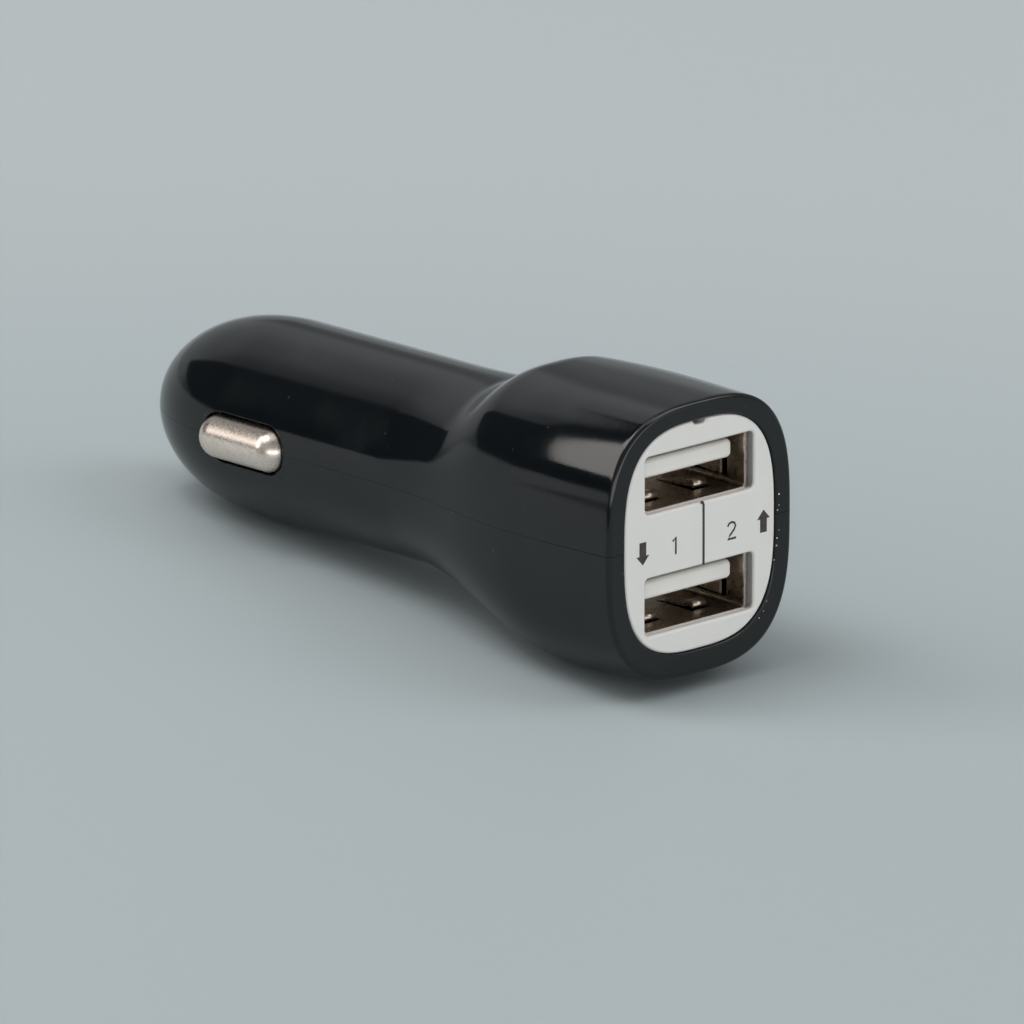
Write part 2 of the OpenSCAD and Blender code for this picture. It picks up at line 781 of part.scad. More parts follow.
// Two rows of chip parts, one on each side of the converter chip.
module small_parts() {
    color([0.62, 0.5, 0.36])
        lying()
            for (i = [0:chip_part_count - 1], y = chip_part_rows)
                block(chip_part_start + i * chip_part_pitch,
                      chip_part_start + i * chip_part_pitch + chip_part_length,
                      y, y + chip_part_width, half_board, half_board + chip_part_height);
}

module tip_pin() {
    color([0.75, 0.72, 0.66])
        lying()
            axial() {
                translate([0, 0, body_length + tip_stand_out - tip_radius])
                    sphere(tip_radius);
                translate([0, 0, tip_flange_front - 0.1])
                    cylinder(r = tip_radius, h = body_length + tip_stand_out - tip_radius
                                                - tip_flange_front + 0.1);
                translate([0, 0, tip_flange_back])
                    cylinder(r = tip_flange_radius, h = tip_flange_thickness);
                translate([0, 0, tip_flange_back - tip_boss_length])
                    cylinder(r = tip_spring_radius - tip_wire - 0.3, h = tip_boss_length + 0.1);
            }
}

// A wire wound round Z from z0 to z1, with flat closed ends.
module coil(radius, wire, turns, z0, z1) {
    per_turn = 12;
    sides = 8;
    steps = per_turn * turns;
    rise = z1 - z0 - 2 * wire;
    points = [for (k = [0:steps]) let (a = 360 * k / per_turn, z = z0 + wire + rise * k / steps)
        for (i = [0:sides - 1]) let (b = 360 * i / sides, r = radius + wire * cos(b))
            [r * cos(a), r * sin(a), z + wire * sin(b)]];
    faces = concat([[for (i = [0:sides - 1]) i]],
                   [for (k = [0:steps - 1], i = [0:sides - 1])
                       let (a = k * sides + i, b = k * sides + (i + 1) % sides)
                       each [[a, a + sides, b + sides], [a, b + sides, b]]],
                   [[for (i = [sides - 1:-1:0]) steps * sides + i]]);
    polyhedron(points, faces);
}

module tip_spring() {
    color([0.7, 0.7, 0.72])
        lying()
            axial()
                coil(tip_spring_radius, tip_wire, tip_turns, spring_seat + 0.02, tip_flange_back - 0.02);
}

module tip_seat() {
    color([0.78, 0.66, 0.36])
        lying()
            axial() {
                translate([0, 0, carrier_back])
                    cylinder(r = tip_spring_radius + tip_wire + seat_margin, h = seat_thickness);
                translate([0, 0, main_board_end - 2.5])
                    cylinder(r = stem_radius, h = carrier_back - main_board_end + 2.6);
            }
}

module carrier() {
    color([0.2, 0.2, 0.22])
        lying()
            difference() {
                union() {
                    block(carrier_front, carrier_back, -carrier_half_width, carrier_half_width,
                          -carrier_half_height, carrier_half_height);
                    for (y = [0, 180])
                        rotate([y - 90, 0, 0])
                            translate([-contact_station, 0, carrier_half_width - 0.1])
                                cylinder(r = post_radius, h = post_length + 0.1);
                }
                axial()
                    cylinder(r = stem_radius + seat_gap, h = body_length);
            }
}

module ground_clip() {
    outer = carrier_half_width + seat_gap + clip_sheet;
    color([0.7, 0.7, 0.72])
        lying() {
            difference() {
                block(carrier_front - seat_gap - clip_sheet, carrier_back - 0.4, -outer, outer,
                      -clip_half_height, clip_half_height);
                block(carrier_front - seat_gap, carrier_back + 1, -outer + clip_sheet, outer - clip_sheet,
                      -3, 3);
                translate([-contact_station, 10, 0])
                    rotate([90, 0, 0])
                        cylinder(r = post_radius + seat_gap, h = 20);
                axial()
                    cylinder(r = stem_radius + 0.4, h = body_length);
            }
            // Two feet soldered to the top of the main board.
            for (y = [-3 * clip_foot, 2 * clip_foot])
                block(main_board_end - 2.5, carrier_front - seat_gap - clip_sheet + 0.1, y, y + clip_foot,
                      half_board, half_board + clip_sheet);
        }
}

// The side contact on the +Y side: a pressed cup with a curved flange behind the barrel wall.
module side_contact() {
    centre = contact_apex - contact_round;
    inner = contact_round - contact_sheet;
    difference() {
        union() {
            for (x = [-pill_reach, pill_reach])
                translate([-contact_station + x, centre, 0])
                    sphere(contact_round);
            translate([-contact_station - pill_reach, centre, 0])
                rotate([0, 90, 0])
                    cylinder(r = contact_round, h = 2 * pill_reach);
            stadium(contact_round, pill_reach, flange_in - 1, centre);
            intersection() {
                stadium(flange_round, pill_reach, 0, barrel_radius);
                axial()
                    cylinder(r = flange_out, h = body_length, $fn = 96);
            }
        }
        axial()
            cylinder(r = flange_in, h = body_length + 10, $fn = 96);
        stadium(inner, pill_reach, 0, centre);
        for (x = [-pill_reach, pill_reach])
            translate([-contact_station + x, centre, 0])
                sphere(inner);
        translate([-contact_station - pill_reach, centre, 0])
            rotate([0, 90, 0])
                cylinder(r = inner, h = 2 * pill_reach);
    }
}

module side_contact_left() {
    color([0.75, 0.72, 0.66])
        lying()
            side_contact();
}

module side_contact_right() {
    color([0.75, 0.72, 0.66])
        lying()
            mirror([0, 1, 0])
                side_contact();
}

module side_spring(side) {
    from = carrier_half_width + seat_gap + clip_sheet + 0.02;
    cup = contact_round - contact_sheet;
    to = contact_apex - contact_round + sqrt(pow(cup, 2) - pow(side_spring_radius + side_wire, 2)) - 0.02;
    color([0.7, 0.7, 0.72])
        lying()
            translate([-contact_station, 0, 0])
                rotate([side > 0 ? -90 : 90, 0, 0])
                    coil(side_spring_radius, side_wire, side_turns, from, to);
}

upper_shell();
lower_shell();
face_plate();
port_can(1);  // port_can_upper
port_can(-1);  // port_can_lower
tongue(1);  // tongue_upper
tongue(-1);  // tongue_lower
strips(1);  // strips_upper
strips(-1);  // strips_lower
port_board();
main_board();
converter_chip();
inductor();
input_capacitor();
output_capacitor();
diode();
small_parts();
tip_pin();
tip_spring();
tip_seat();
carrier();
ground_clip();
side_contact_left();
side_contact_right();
side_spring(1);  // side_spring_left
side_spring(-1);  // side_spring_right
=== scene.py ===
"""Looks of the twin-port car socket charger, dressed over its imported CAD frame."""
import math

import bmesh
import bpy
import numpy as np
from mathutils import Matrix, Vector

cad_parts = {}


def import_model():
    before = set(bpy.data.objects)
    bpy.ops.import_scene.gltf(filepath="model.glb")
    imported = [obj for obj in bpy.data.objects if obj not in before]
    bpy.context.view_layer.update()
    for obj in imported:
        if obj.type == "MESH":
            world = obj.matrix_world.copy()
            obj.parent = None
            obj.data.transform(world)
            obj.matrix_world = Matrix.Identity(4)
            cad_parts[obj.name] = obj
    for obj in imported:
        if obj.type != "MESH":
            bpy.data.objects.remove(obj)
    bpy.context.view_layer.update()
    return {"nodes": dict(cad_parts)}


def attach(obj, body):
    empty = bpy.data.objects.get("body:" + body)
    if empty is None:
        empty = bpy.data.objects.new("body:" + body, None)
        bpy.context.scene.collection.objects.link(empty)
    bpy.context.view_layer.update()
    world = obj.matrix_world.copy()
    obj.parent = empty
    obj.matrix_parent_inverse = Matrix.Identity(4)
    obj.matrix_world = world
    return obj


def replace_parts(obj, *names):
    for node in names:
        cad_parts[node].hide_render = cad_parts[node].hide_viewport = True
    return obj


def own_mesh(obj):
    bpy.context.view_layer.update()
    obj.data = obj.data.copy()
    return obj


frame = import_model()

# Sizes, in mm.
# The plug's own frame: x is 0 on the face and runs towards the ports, so a station is -x.
# They follow the named values of the part's source. The seam, the rim's edge, the width of the
# openings, the tongues and the round of the side contacts are set finer here.
TILT = math.radians(5.56115)
LIFT = 14.561
SHIFT = 33.9423
BODY_LENGTH = 66.4
BARREL_RADIUS = 9.3
NOSE_LENGTH = 13.4
NOSE_REACH = 15.8
NOSE_FULLNESS = 2.3
NOSE_SHOULDER = 1.75
WALL = 1.6
SEAM_GAP = 0.04
RIM_HALF_WIDTH = 11.45
SIDE_HALF_WIDTH = 11.9
SIDE_FULL_STATION = 12.0
SQUARE_STATION = 8.0
NECK_STATION = 32.5
# Above the parting plane (1) and below it (-1): rim height, full height, where it is full
# and where it has run out into the barrel.
HEIGHTS = {1: (12.45, 12.6, 17.5, 25.5), -1: (13.0, 13.65, 9.0, 32.5)}
RIM_SQUARENESS = 3.0
RIM_EDGE = 0.42
MOUTH_EDGE = 0.12
PLATE_HALF_WIDTH = 9.4
PLATE_HALF_HEIGHT = 10.65
PLATE_THICKNESS = 1.6
PLATE_RECESS = 0.08
PLATE_CLEARANCE = 0.08
PLATE_EDGE = 0.25
LEDGE_WIDTH = 0.35
LEDGE_LENGTH = 1.7
KEY_WIDTH = 1.3
KEY_DEPTH = 0.4
PORT_PITCH = 11.27
APERTURE_WIDTH = 13.6
APERTURE_HEIGHT = 5.37
APERTURE_CORNER = 0.5
APERTURE_EDGE = 0.26
APERTURE_LIP = 0.28
POCKET_STEP = 0.5
POCKET_CORNER = 0.7
CAN_WIDTH = 13.1
CAN_HEIGHT = 5.72
CAN_CLEARANCE = 0.1
CAN_FRONT = 0.83
CONTACT_STATION = 50.5
CONTACT_ROUND = 2.0
PILL_ROUND = 2.05
CONTACT_APEX = 10.8
PILL_REACH = 3.1
SLOT_ROUND = 2.35
SLOT_EDGE = 0.12
FLANGE_ROUND = 3.1
FLANGE_OUT = 7.5
FLANGE_IN = 7.0
BORE_END = 57.2
TIP_RADIUS = 2.75
TIP_CLEARANCE = 0.08
TIP_STAND_OUT = 3.0
GUIDE_START = 62.0
TIP_FLANGE_RADIUS = 4.1
TIP_FLANGE_FRONT = 61.8
TIP_FLANGE_BACK = 60.9
SPRING_SEAT = 54.1
SIDE_SEAT = 3.05
SIDE_SPRING_END = 9.3
# Radius of a coil to the middle of its wire, radius of the wire, and turns.
TIP_COIL = (2.35, 0.25, 5)
SIDE_COIL = (1.22, 0.18, 4)
CAN_SHEET = 0.3
CAN_LENGTH = 14.0
TONGUE_THICKNESS = 1.8
TONGUE_RISE = 0.1
TONGUE_LENGTH = 9.6
TONGUE_SIDE_GAP = 0.7
TONGUE_EDGE = 0.45
TONGUE_BASE = 3.2
FINGER_OFFSET = 3.1
FINGER_WIDTH = 1.7

NOSE_START = BODY_LENGTH - NOSE_LENGTH
BORE_RADIUS = BARREL_RADIUS - WALL
PLATE_BACK = PLATE_RECESS + PLATE_THICKNESS
LEDGE_BACK = PLATE_BACK + LEDGE_LENGTH
CAN_BACK = CAN_FRONT + CAN_LENGTH
BASE_FRONT = CAN_BACK - CAN_SHEET - TONGUE_BASE
TONGUE_FRONT = BASE_FRONT - TONGUE_LENGTH
TONGUE_WIDTH = CAN_WIDTH - 2 * CAN_SHEET - 2 * TONGUE_SIDE_GAP


def place(points):
    """Points of the plug's own frame in mm, as points of the row frame in metres."""
    p = np.asarray(points, float)
    c, s = math.cos(TILT), math.sin(TILT)
    x = p[..., 0] * c - p[..., 2] * s + SHIFT
    z = p[..., 0] * s + p[..., 2] * c + LIFT
    return np.stack([x, p[..., 1], z], axis=-1) / 1000


def turn(direction):
    """A direction of the plug's own frame in the row frame."""
    x, y, z = direction
    c, s = math.cos(TILT), math.sin(TILT)
    return Vector((x * c - z * s, y, x * s + z * c))


# Shape rules.
def ease(u):
    v = min(1.0, max(0.0, u))
    return v * v * (3 - 2 * v)


def head_width(s):
    if s < SIDE_FULL_STATION:
        return SIDE_HALF_WIDTH + (RIM_HALF_WIDTH - SIDE_HALF_WIDTH) * (1 - s / SIDE_FULL_STATION) ** 2
    run = ease((NECK_STATION - s) / (NECK_STATION - SIDE_FULL_STATION))
    return BARREL_RADIUS + (SIDE_HALF_WIDTH - BARREL_RADIUS) * run


def head_height(s, half):
    rim, peak, full, end = HEIGHTS[half]
    if s < full:
        return peak + (rim - peak) * (1 - s / full) ** 2
    return BARREL_RADIUS + (peak - BARREL_RADIUS) * ease((end - s) / (end - full))


def squareness(s):
    return 2 + (RIM_SQUARENESS - 2) * ease((NECK_STATION - s) / (NECK_STATION - SQUARE_STATION))


def nose_radius(s):
    t = max(0.0, (s - NOSE_START) / NOSE_REACH)
    return BARREL_RADIUS * max(0.0, 1 - t ** NOSE_FULLNESS) ** (1 / NOSE_SHOULDER)


def outline(w, h, n, angles):
    """Points (y, z) of a rounded square outline at the given angles."""
    c, s = np.cos(angles), np.sin(angles)
    reach = (np.abs(c / w) ** n + np.abs(s / h) ** n) ** (-1 / n)
    return np.stack([reach * c, reach * s], axis=-1)


def ring(s, w, h, n, angles):
    yz = outline(w, h, n, angles)
    return np.column_stack([np.full(len(yz), -s), yz])


# Mesh helpers.
def make_piece(name, points, faces, material, sharp=35):
    """A smooth shaded piece from points of the plug's own frame."""
    mesh = bpy.data.meshes.new(name)
    mesh.from_pydata([tuple(p) for p in place(points)], [], [tuple(int(i) for i in f) for f in faces])
    mesh.validate()
    bm = bmesh.new()
    bm.from_mesh(mesh)
    bmesh.ops.recalc_face_normals(bm, faces=bm.faces)
    bm.to_mesh(mesh)
    bm.free()
    mesh.shade_smooth()
    mesh.set_sharp_from_angle(angle=math.radians(sharp))
    mesh.materials.append(material)
    piece = bpy.data.objects.new(name, mesh)
    bpy.context.scene.collection.objects.link(piece)
    return piece


def strip_faces(rows, count, start=0, closed=True):
    """Quads between successive rows of count points each."""
    faces = []
    for k in range(rows - 1):
        for i in range(count if closed else count - 1):
            a, b = start + k * count + i, start + k * count + (i + 1) % count
            faces.append((a, b, b + count, a + count))
    return faces


def cut(piece, cutter):
    """Takes the cutter's volume out of the piece for good."""
    tool = piece.modifiers.new("cut", "BOOLEAN")
    tool.operation = "DIFFERENCE"
    tool.solver = "EXACT"
    tool.object = cutter
    bpy.context.view_layer.update()
    solid = bpy.data.meshes.new_from_object(piece.evaluated_get(bpy.context.evaluated_depsgraph_get()))
    piece.modifiers.remove(tool)
    piece.data = solid
    solid.shade_smooth()
    solid.set_sharp_from_angle(angle=math.radians(35))
    bpy.data.objects.remove(cutter)


# Materials.
def new_material(name):
    mat = bpy.data.materials.new(name)
    mat.use_nodes = True
    nodes, links = mat.node_tree.nodes, mat.node_tree.links
    shader = nodes["Principled BSDF"]
    coords = nodes.new("ShaderNodeTexCoord")
    return mat, nodes, links, shader, coords


def noise(nodes, links, coords, scale, detail=3.0, stretch=None):
    """A noise texture in object coordinates, with its scale in cycles per metre."""
    source = coords.outputs["Object"]
    if stretch:
        mapping = nodes.new("ShaderNodeMapping")
        mapping.inputs["Scale"].default_value = stretch
        links.new(source, mapping.inputs["Vector"])
        source = mapping.outputs["Vector"]
    tex = nodes.new("ShaderNodeTexNoise")
    tex.inputs["Scale"].default_value = scale
    tex.inputs["Detail"].default_value = detail
    links.new(source, tex.inputs["Vector"])
    return tex.outputs["Fac"]


def ramp(nodes, links, value, stops):
    """A colour ramp over a value. Stops are (position, colour)."""
    node = nodes.new("ShaderNodeValToRGB")
    elements = node.color_ramp.elements
    while len(elements) < len(stops):
        elements.new(0.5)
    for element, (where, colour) in zip(elements, stops):
        element.position = where
        element.color = (*colour, 1) if len(colour) == 3 else colour
    links.new(value, node.inputs["Fac"])
    return node.outputs["Color"]


def grey(v):
    return (v, v, v)


def bump(nodes, links, shader, height, distance, strength=1.0, before=None):
    node = nodes.new("ShaderNodeBump")
    node.inputs["Distance"].default_value = distance
    node.inputs["Strength"].default_value = strength
    links.new(height, node.inputs["Height"])
    if before:
        links.new(before, node.inputs["Normal"])
    links.new(node.outputs["Normal"], shader.inputs["Normal"])
    return node.outputs["Normal"]


def black_gloss():
    """Polished black plastic with faint haze, fine grain and a little dust."""
    mat, nodes, links, shader, coords = new_material("black_gloss_plastic")
    haze = noise(nodes, links, coords, 140, 4)
    shade = ramp(nodes, links, haze, [(0.35, (0.0034, 0.0042, 0.0048)), (0.62, (0.0050, 0.0060, 0.0066)),
                                      (0.76, (0.0105, 0.0125, 0.0140))])
    dust = nodes.new("ShaderNodeTexVoronoi")
    dust.inputs["Scale"].default_value = 760
    dust.inputs["Randomness"].default_value = 1
    links.new(coords.outputs["Object"], dust.inputs["Vector"])
    speck = ramp(nodes, links, dust.outputs["Distance"], [(0.06, grey(1)), (0.11, grey(0))])
    sparse = noise(nodes, links, coords, 900, 1)
    few = ramp(nodes, links, sparse, [(0.56, grey(0)), (0.62, grey(1))])
    both = nodes.new("ShaderNodeMix")
    both.data_type = "RGBA"
    both.blend_type = "MULTIPLY"
    both.inputs["Factor"].default_value = 1
    links.new(speck, both.inputs["A"])
    links.new(few, both.inputs["B"])
    dusty = nodes.new("ShaderNodeMix")
    dusty.data_type = "RGBA"
    links.new(both.outputs["Result"], dusty.inputs["Factor"])
    links.new(shade, dusty.inputs["A"])
    dusty.inputs["B"].default_value = (0.034, 0.038, 0.041, 1)
    links.new(dusty.outputs["Result"], shader.inputs["Base Color"])
    smear = noise(nodes, links, coords, 95, 5)
    rough = ramp(nodes, links, smear, [(0.4, grey(0.075)), (0.62, grey(0.12)), (0.8, grey(0.17))])
    links.new(rough, shader.inputs["Roughness"])
    ripple = noise(nodes, links, coords, 260, 2)
    low = bump(nodes, links, shader, ripple, 0.00002, 0.25)
    grain = noise(nodes, links, coords, 5200, 2)
    bump(nodes, links, shader, grain, 0.000005, 0.5, before=low)
    shader.inputs["IOR"].default_value = 1.47
    return mat


def pale_plastic():
    """Warm white moulded plastic of the face plate, with a soft sheen."""
    mat, nodes, links, shader, coords = new_material("pale_satin_plastic")
    cloud = noise(nodes, links, coords, 120, 3)
    shade = ramp(nodes, links, cloud, [(0.3, (0.79, 0.775, 0.755)), (0.7, (0.82, 0.805, 0.785))])
    links.new(shade, shader.inputs["Base Color"])
    fine = noise(nodes, links, coords, 900, 2)
    rough = ramp(nodes, links, fine, [(0.35, grey(0.34)), (0.65, grey(0.44))])
    links.new(rough, shader.inputs["Roughness"])
    grain = noise(nodes, links, coords, 4200, 3)
    bump(nodes, links, shader, grain, 0.000006, 0.35)
    shader.inputs["IOR"].default_value = 1.49
    shader.inputs["Subsurface Weight"].default_value = 0.06
    shader.inputs["Subsurface Radius"].default_value = (0.0006, 0.0005, 0.0004)
    shader.inputs["Subsurface Scale"].default_value = 1.0
    return mat


def plain_plastic(name, low, high, roughness, grain_scale=3500):
    """Moulded plastic with a little colour drift and a fine grain."""
    mat, nodes, links, shader, coords = new_material(name)
    cloud = noise(nodes, links, coords, 300, 3)
    links.new(ramp(nodes, links, cloud, [(0.3, low), (0.7, high)]), shader.inputs["Base Color"])
    shine = noise(nodes, links, coords, 1500, 2)
    links.new(ramp(nodes, links, shine, [(0.3, grey(roughness - 0.05)), (0.7, grey(roughness + 0.05))]),
              shader.inputs["Roughness"])
    grain = noise(nodes, links, coords, grain_scale, 3)
    bump(nodes, links, shader, grain, 0.000008, 0.4)
    return mat


def metal(name, low, high, roughness, spread=0.06, grain_scale=3200, stretch=None, depth=0.000006):
    """Plated metal with fine drawn or pressed grain."""
    mat, nodes, links, shader, coords = new_material(name)
    cloud = noise(nodes, links, coords, 700, 4)
    links.new(ramp(nodes, links, cloud, [(0.3, low), (0.7, high)]), shader.inputs["Base Color"])
    shader.inputs["Metallic"].default_value = 1
    grain = noise(nodes, links, coords, grain_scale, 4, stretch)
    links.new(ramp(nodes, links, grain, [(0.3, grey(roughness - spread)), (0.7, grey(roughness + spread))]),
              shader.inputs["Roughness"])
    bump(nodes, links, shader, grain, depth, 0.5)
    return mat


def nickel():
    """Warm nickel plate, mottled and painted darker where it faces up: painted shade."""
    mat, nodes, links, shader, coords = new_material("warm_nickel_plate")
    cloud = noise(nodes, links, coords, 700, 4)
    clean = ramp(nodes, links, cloud, [(0.3, (0.84, 0.72, 0.635)), (0.7, (0.92, 0.805, 0.72))])
    mottle = noise(nodes, links, coords, 4200, 5)
    mottled_painted_shade = ramp(nodes, links, mottle, [(0.35, (0.31, 0.27, 0.235)), (0.65, (0.43, 0.375, 0.325))])
    # Painted shade: faces that look up take the darker mottled colour.
    facing = nodes.new("ShaderNodeNewGeometry")
    parts = nodes.new("ShaderNodeSeparateXYZ")
    links.new(facing.outputs["Normal"], parts.inputs[0])
    up = nodes.new("ShaderNodeMapRange")
    up.interpolation_type = "SMOOTHSTEP"
    up.inputs["From Min"].default_value = 0.42
    up.inputs["From Max"].default_value = 0.72
    up.inputs["To Max"].default_value = 0.85
    links.new(parts.outputs["Z"], up.inputs["Value"])
    shade = nodes.new("ShaderNodeMix")
    shade.data_type = "RGBA"
    links.new(up.outputs["Result"], shade.inputs["Factor"])
    links.new(clean, shade.inputs["A"])
    links.new(mottled_painted_shade, shade.inputs["B"])
    links.new(shade.outputs["Result"], shader.inputs["Base Color"])
    shader.inputs["Metallic"].default_value = 1
    links.new(ramp(nodes, links, mottle, [(0.3, grey(0.24)), (0.7, grey(0.33))]), shader.inputs["Roughness"])
    grain = noise(nodes, links, coords, 9000, 4)
    bump(nodes, links, shader, grain, 0.0000015, 0.28)
    return mat


def can_metal():
    """Bronze toned sheet, with a painted highlight along its front edge."""
    mat, nodes, links, shader, coords = new_material("bronze_toned_can")
    cloud = noise(nodes, links, coords, 700, 4)
    sheet = ramp(nodes, links, cloud, [(0.3, (0.32, 0.265, 0.21)), (0.7, (0.45, 0.38, 0.31))])
    # The plug's own x, which is 0 on its face.
    along = nodes.new("ShaderNodeMapping")
    face_x = turn((1, 0, 0)).dot(Vector(place((0, 0, 0))))
    along.inputs["Location"].default_value = (-face_x, 0, 0)
    along.inputs["Rotation"].default_value = (0, TILT, 0)
    links.new(coords.outputs["Object"], along.inputs["Vector"])
    axis = nodes.new("ShaderNodeSeparateXYZ")
    links.new(along.outputs["Vector"], axis.inputs[0])
    # Painted highlight: the first tenth of a millimetre behind the can's front edge is paler.
    rim = nodes.new("ShaderNodeMapRange")
    rim.inputs["From Min"].default_value = -(CAN_FRONT + 0.16) / 1000
    rim.inputs["From Max"].default_value = -(CAN_FRONT + 0.08) / 1000
    links.new(axis.outputs["X"], rim.inputs["Value"])
    shade = nodes.new("ShaderNodeMix")
    shade.data_type = "RGBA"
    links.new(rim.outputs["Result"], shade.inputs["Factor"])
    links.new(sheet, shade.inputs["A"])
    shade.inputs["B"].default_value = (0.82, 0.72, 0.66, 1)
    links.new(shade.outputs["Result"], shader.inputs["Base Color"])
    shader.inputs["Metallic"].default_value = 1
    grain = noise(nodes, links, coords, 2400, 4, (1, 6, 1))
    links.new(ramp(nodes, links, grain, [(0.3, grey(0.22)), (0.7, grey(0.38))]), shader.inputs["Roughness"])
    bump(nodes, links, shader, grain, 0.000006, 0.5)
    return mat


def printed_ink():
    """Dark pad-printed ink, slightly uneven."""
    mat, nodes, links, shader, coords = new_material("printed_ink")
    cloud = noise(nodes, links, coords, 2500, 3)
    links.new(ramp(nodes, links, cloud, [(0.3, (0.030, 0.023, 0.022)), (0.7, (0.055, 0.045, 0.043))]),
              shader.inputs["Base Color"])
    shader.inputs["Roughness"].default_value = 0.5
    grain = noise(nodes, links, coords, 6000, 2)
    bump(nodes, links, shader, grain, 0.000004, 0.4)
    return mat


BLACK = black_gloss()
PALE = pale_plastic()
INK = printed_ink()
NICKEL = nickel()
CAN = can_metal()
CURL = metal("bright_finger_end", (0.55, 0.47, 0.39), (0.70, 0.61, 0.52), 0.34, 0.08, 2600)
GOLD = metal("gold_flash", (0.80, 0.60, 0.26), (0.90, 0.70, 0.36), 0.25)
STEEL = metal("plated_spring_steel", (0.52, 0.52, 0.53), (0.64, 0.64, 0.65), 0.28)
BRASS = metal("plated_brass", (0.62, 0.50, 0.26), (0.72, 0.60, 0.34), 0.3)
SLEEVE = metal("printed_capacitor_sleeve", (0.06, 0.07, 0.14), (0.09, 0.10, 0.19), 0.35)
WHITE = plain_plastic("white_insulator", (0.91, 0.885, 0.84), (0.94, 0.915, 0.87), 0.36)
BOARD = plain_plastic("green_board", (0.03, 0.13, 0.055), (0.05, 0.19, 0.08), 0.35)
PACKAGE = plain_plastic("black_package", (0.020, 0.020, 0.021), (0.040, 0.040, 0.041), 0.5)
FERRITE = plain_plastic("ferrite_core", (0.10, 0.095, 0.09), (0.17, 0.16, 0.15), 0.7, 1800)
CERAMIC = plain_plastic("tan_ceramic", (0.50, 0.39, 0.27), (0.62, 0.50, 0.36), 0.45)
NYLON = plain_plastic("dark_nylon", (0.07, 0.07, 0.075), (0.11, 0.11, 0.115), 0.45)

NODE_LOOKS = {
    "upper_shell": BLACK, "lower_shell": BLACK, "face_plate": PALE, "port_can_upper": CAN,
    "port_can_lower": CAN, "tongue_upper": WHITE, "tongue_lower": WHITE, "strips_upper": GOLD,
    "strips_lower": GOLD, "port_board": BOARD, "main_board": BOARD, "converter_chip": PACKAGE,
    "inductor": FERRITE, "input_capacitor": SLEEVE, "output_capacitor": SLEEVE, "diode": PACKAGE,
    "small_parts": CERAMIC, "tip_pin": NICKEL, "tip_spring": STEEL, "tip_seat": BRASS,
    "carrier": NYLON, "ground_clip": STEEL, "side_contact_left": NICKEL,
    "side_contact_right": NICKEL, "side_spring_left": STEEL, "side_spring_right": STEEL,
}
for node_name, look in NODE_LOOKS.items():
    slots = frame["nodes"][node_name].data.materials
    if not len(slots):
        slots.append(look)
    for index in range(len(slots)):
        slots[index] = look


# Housing halves.
ARC_STEPS = 144


def housing_loop(half):
    """One half's section as a closed run of (station, half width, height, squareness)."""
    clear_w, clear_h = PLATE_HALF_WIDTH + PLATE_CLEARANCE, PLATE_HALF_HEIGHT + PLATE_CLEARANCE
    rim = RIM_SQUARENESS
    loop = [(PLATE_BACK + 0.05, clear_w, clear_h, rim)]
    # The pocket's mouth has a small broken edge.
    for a in (0, 30, 60, 90):
        back = MOUTH_EDGE * (1 - math.sin(math.radians(a)))
        grow = MOUTH_EDGE * (1 - math.cos(math.radians(a)))
        loop.append((back, clear_w + grow, clear_h + grow, rim))
    loop.append((0.0, clear_w + 0.2, clear_h + 0.2, rim))
    loop.append((0.0, RIM_HALF_WIDTH - RIM_EDGE - 0.12, HEIGHTS[half][0] - RIM_EDGE - 0.12, rim))
    for k in range(11):
        a = math.radians(90 - 9 * k)
        s, inset = RIM_EDGE * (1 - math.sin(a)), RIM_EDGE * (1 - math.cos(a))
        loop.append((s, head_width(s) - inset, head_height(s, half) - inset, squareness(s)))
    for k in range(1, 97):
        s = RIM_EDGE + (NECK_STATION - RIM_EDGE) * k / 96
        loop.append((s, head_width(s), head_height(s, half), squareness(s)))
    for k in range(1, 25):
        s = NECK_STATION + (NOSE_START - NECK_STATION) * k / 24
        loop.append((s, BARREL_RADIUS, BARREL_RADIUS, 2))
    for k in range(1, 57):
        s = NOSE_START + NOSE_LENGTH * math.sin(math.radians(90 * k / 56))
        loop.append((s, nose_radius(s), nose_radius(s), 2))
    guide = TIP_RADIUS + TIP_CLEARANCE
    loop += [(BODY_LENGTH, guide + 0.25, guide + 0.25, 2), (BODY_LENGTH - 0.15, guide, guide, 2),
             (GUIDE_START, guide, guide, 2), (GUIDE_START, 4.4, 4.4, 2), (BORE_END, 4.4, 4.4, 2),
             (BORE_END, BORE_RADIUS, BORE_RADIUS, 2), (NECK_STATION, BORE_RADIUS, BORE_RADIUS, 2)]
    for k in range(1, 29):
        s = NECK_STATION + (LEDGE_BACK - NECK_STATION) * k / 28
        loop.append((s, head_width(s) - WALL, head_height(s, half) - WALL, squareness(s)))
    edge_w, edge_h = PLATE_HALF_WIDTH - LEDGE_WIDTH, PLATE_HALF_HEIGHT - LEDGE_WIDTH
    loop += [(LEDGE_BACK, edge_w, edge_h, rim), (PLATE_BACK + 0.05, edge_w, edge_h, rim)]
    return loop


def seam_gap(s):
    """The parting line is tight along the barrel and opens a little towards the rim."""
    return 0.02 + (SEAM_GAP - 0.02) * ease((12 - s) / 8)


def stadium_contour(round_, half):
    """Points (x, z) of the upper or lower half of a slot's outline."""
    arc = [math.radians(a) for a in range(0, 91, 6)]
    right = [(PILL_REACH + round_ * math.cos(a), round_ * math.sin(a)) for a in arc]
    run = [(PILL_REACH * (1 - 2 * k / 14), round_) for k in range(1, 14)]
    left = [(-x, z) for x, z in reversed(right)]
    return [(x, half * max(z, 0.01)) for x, z in right + run + left]


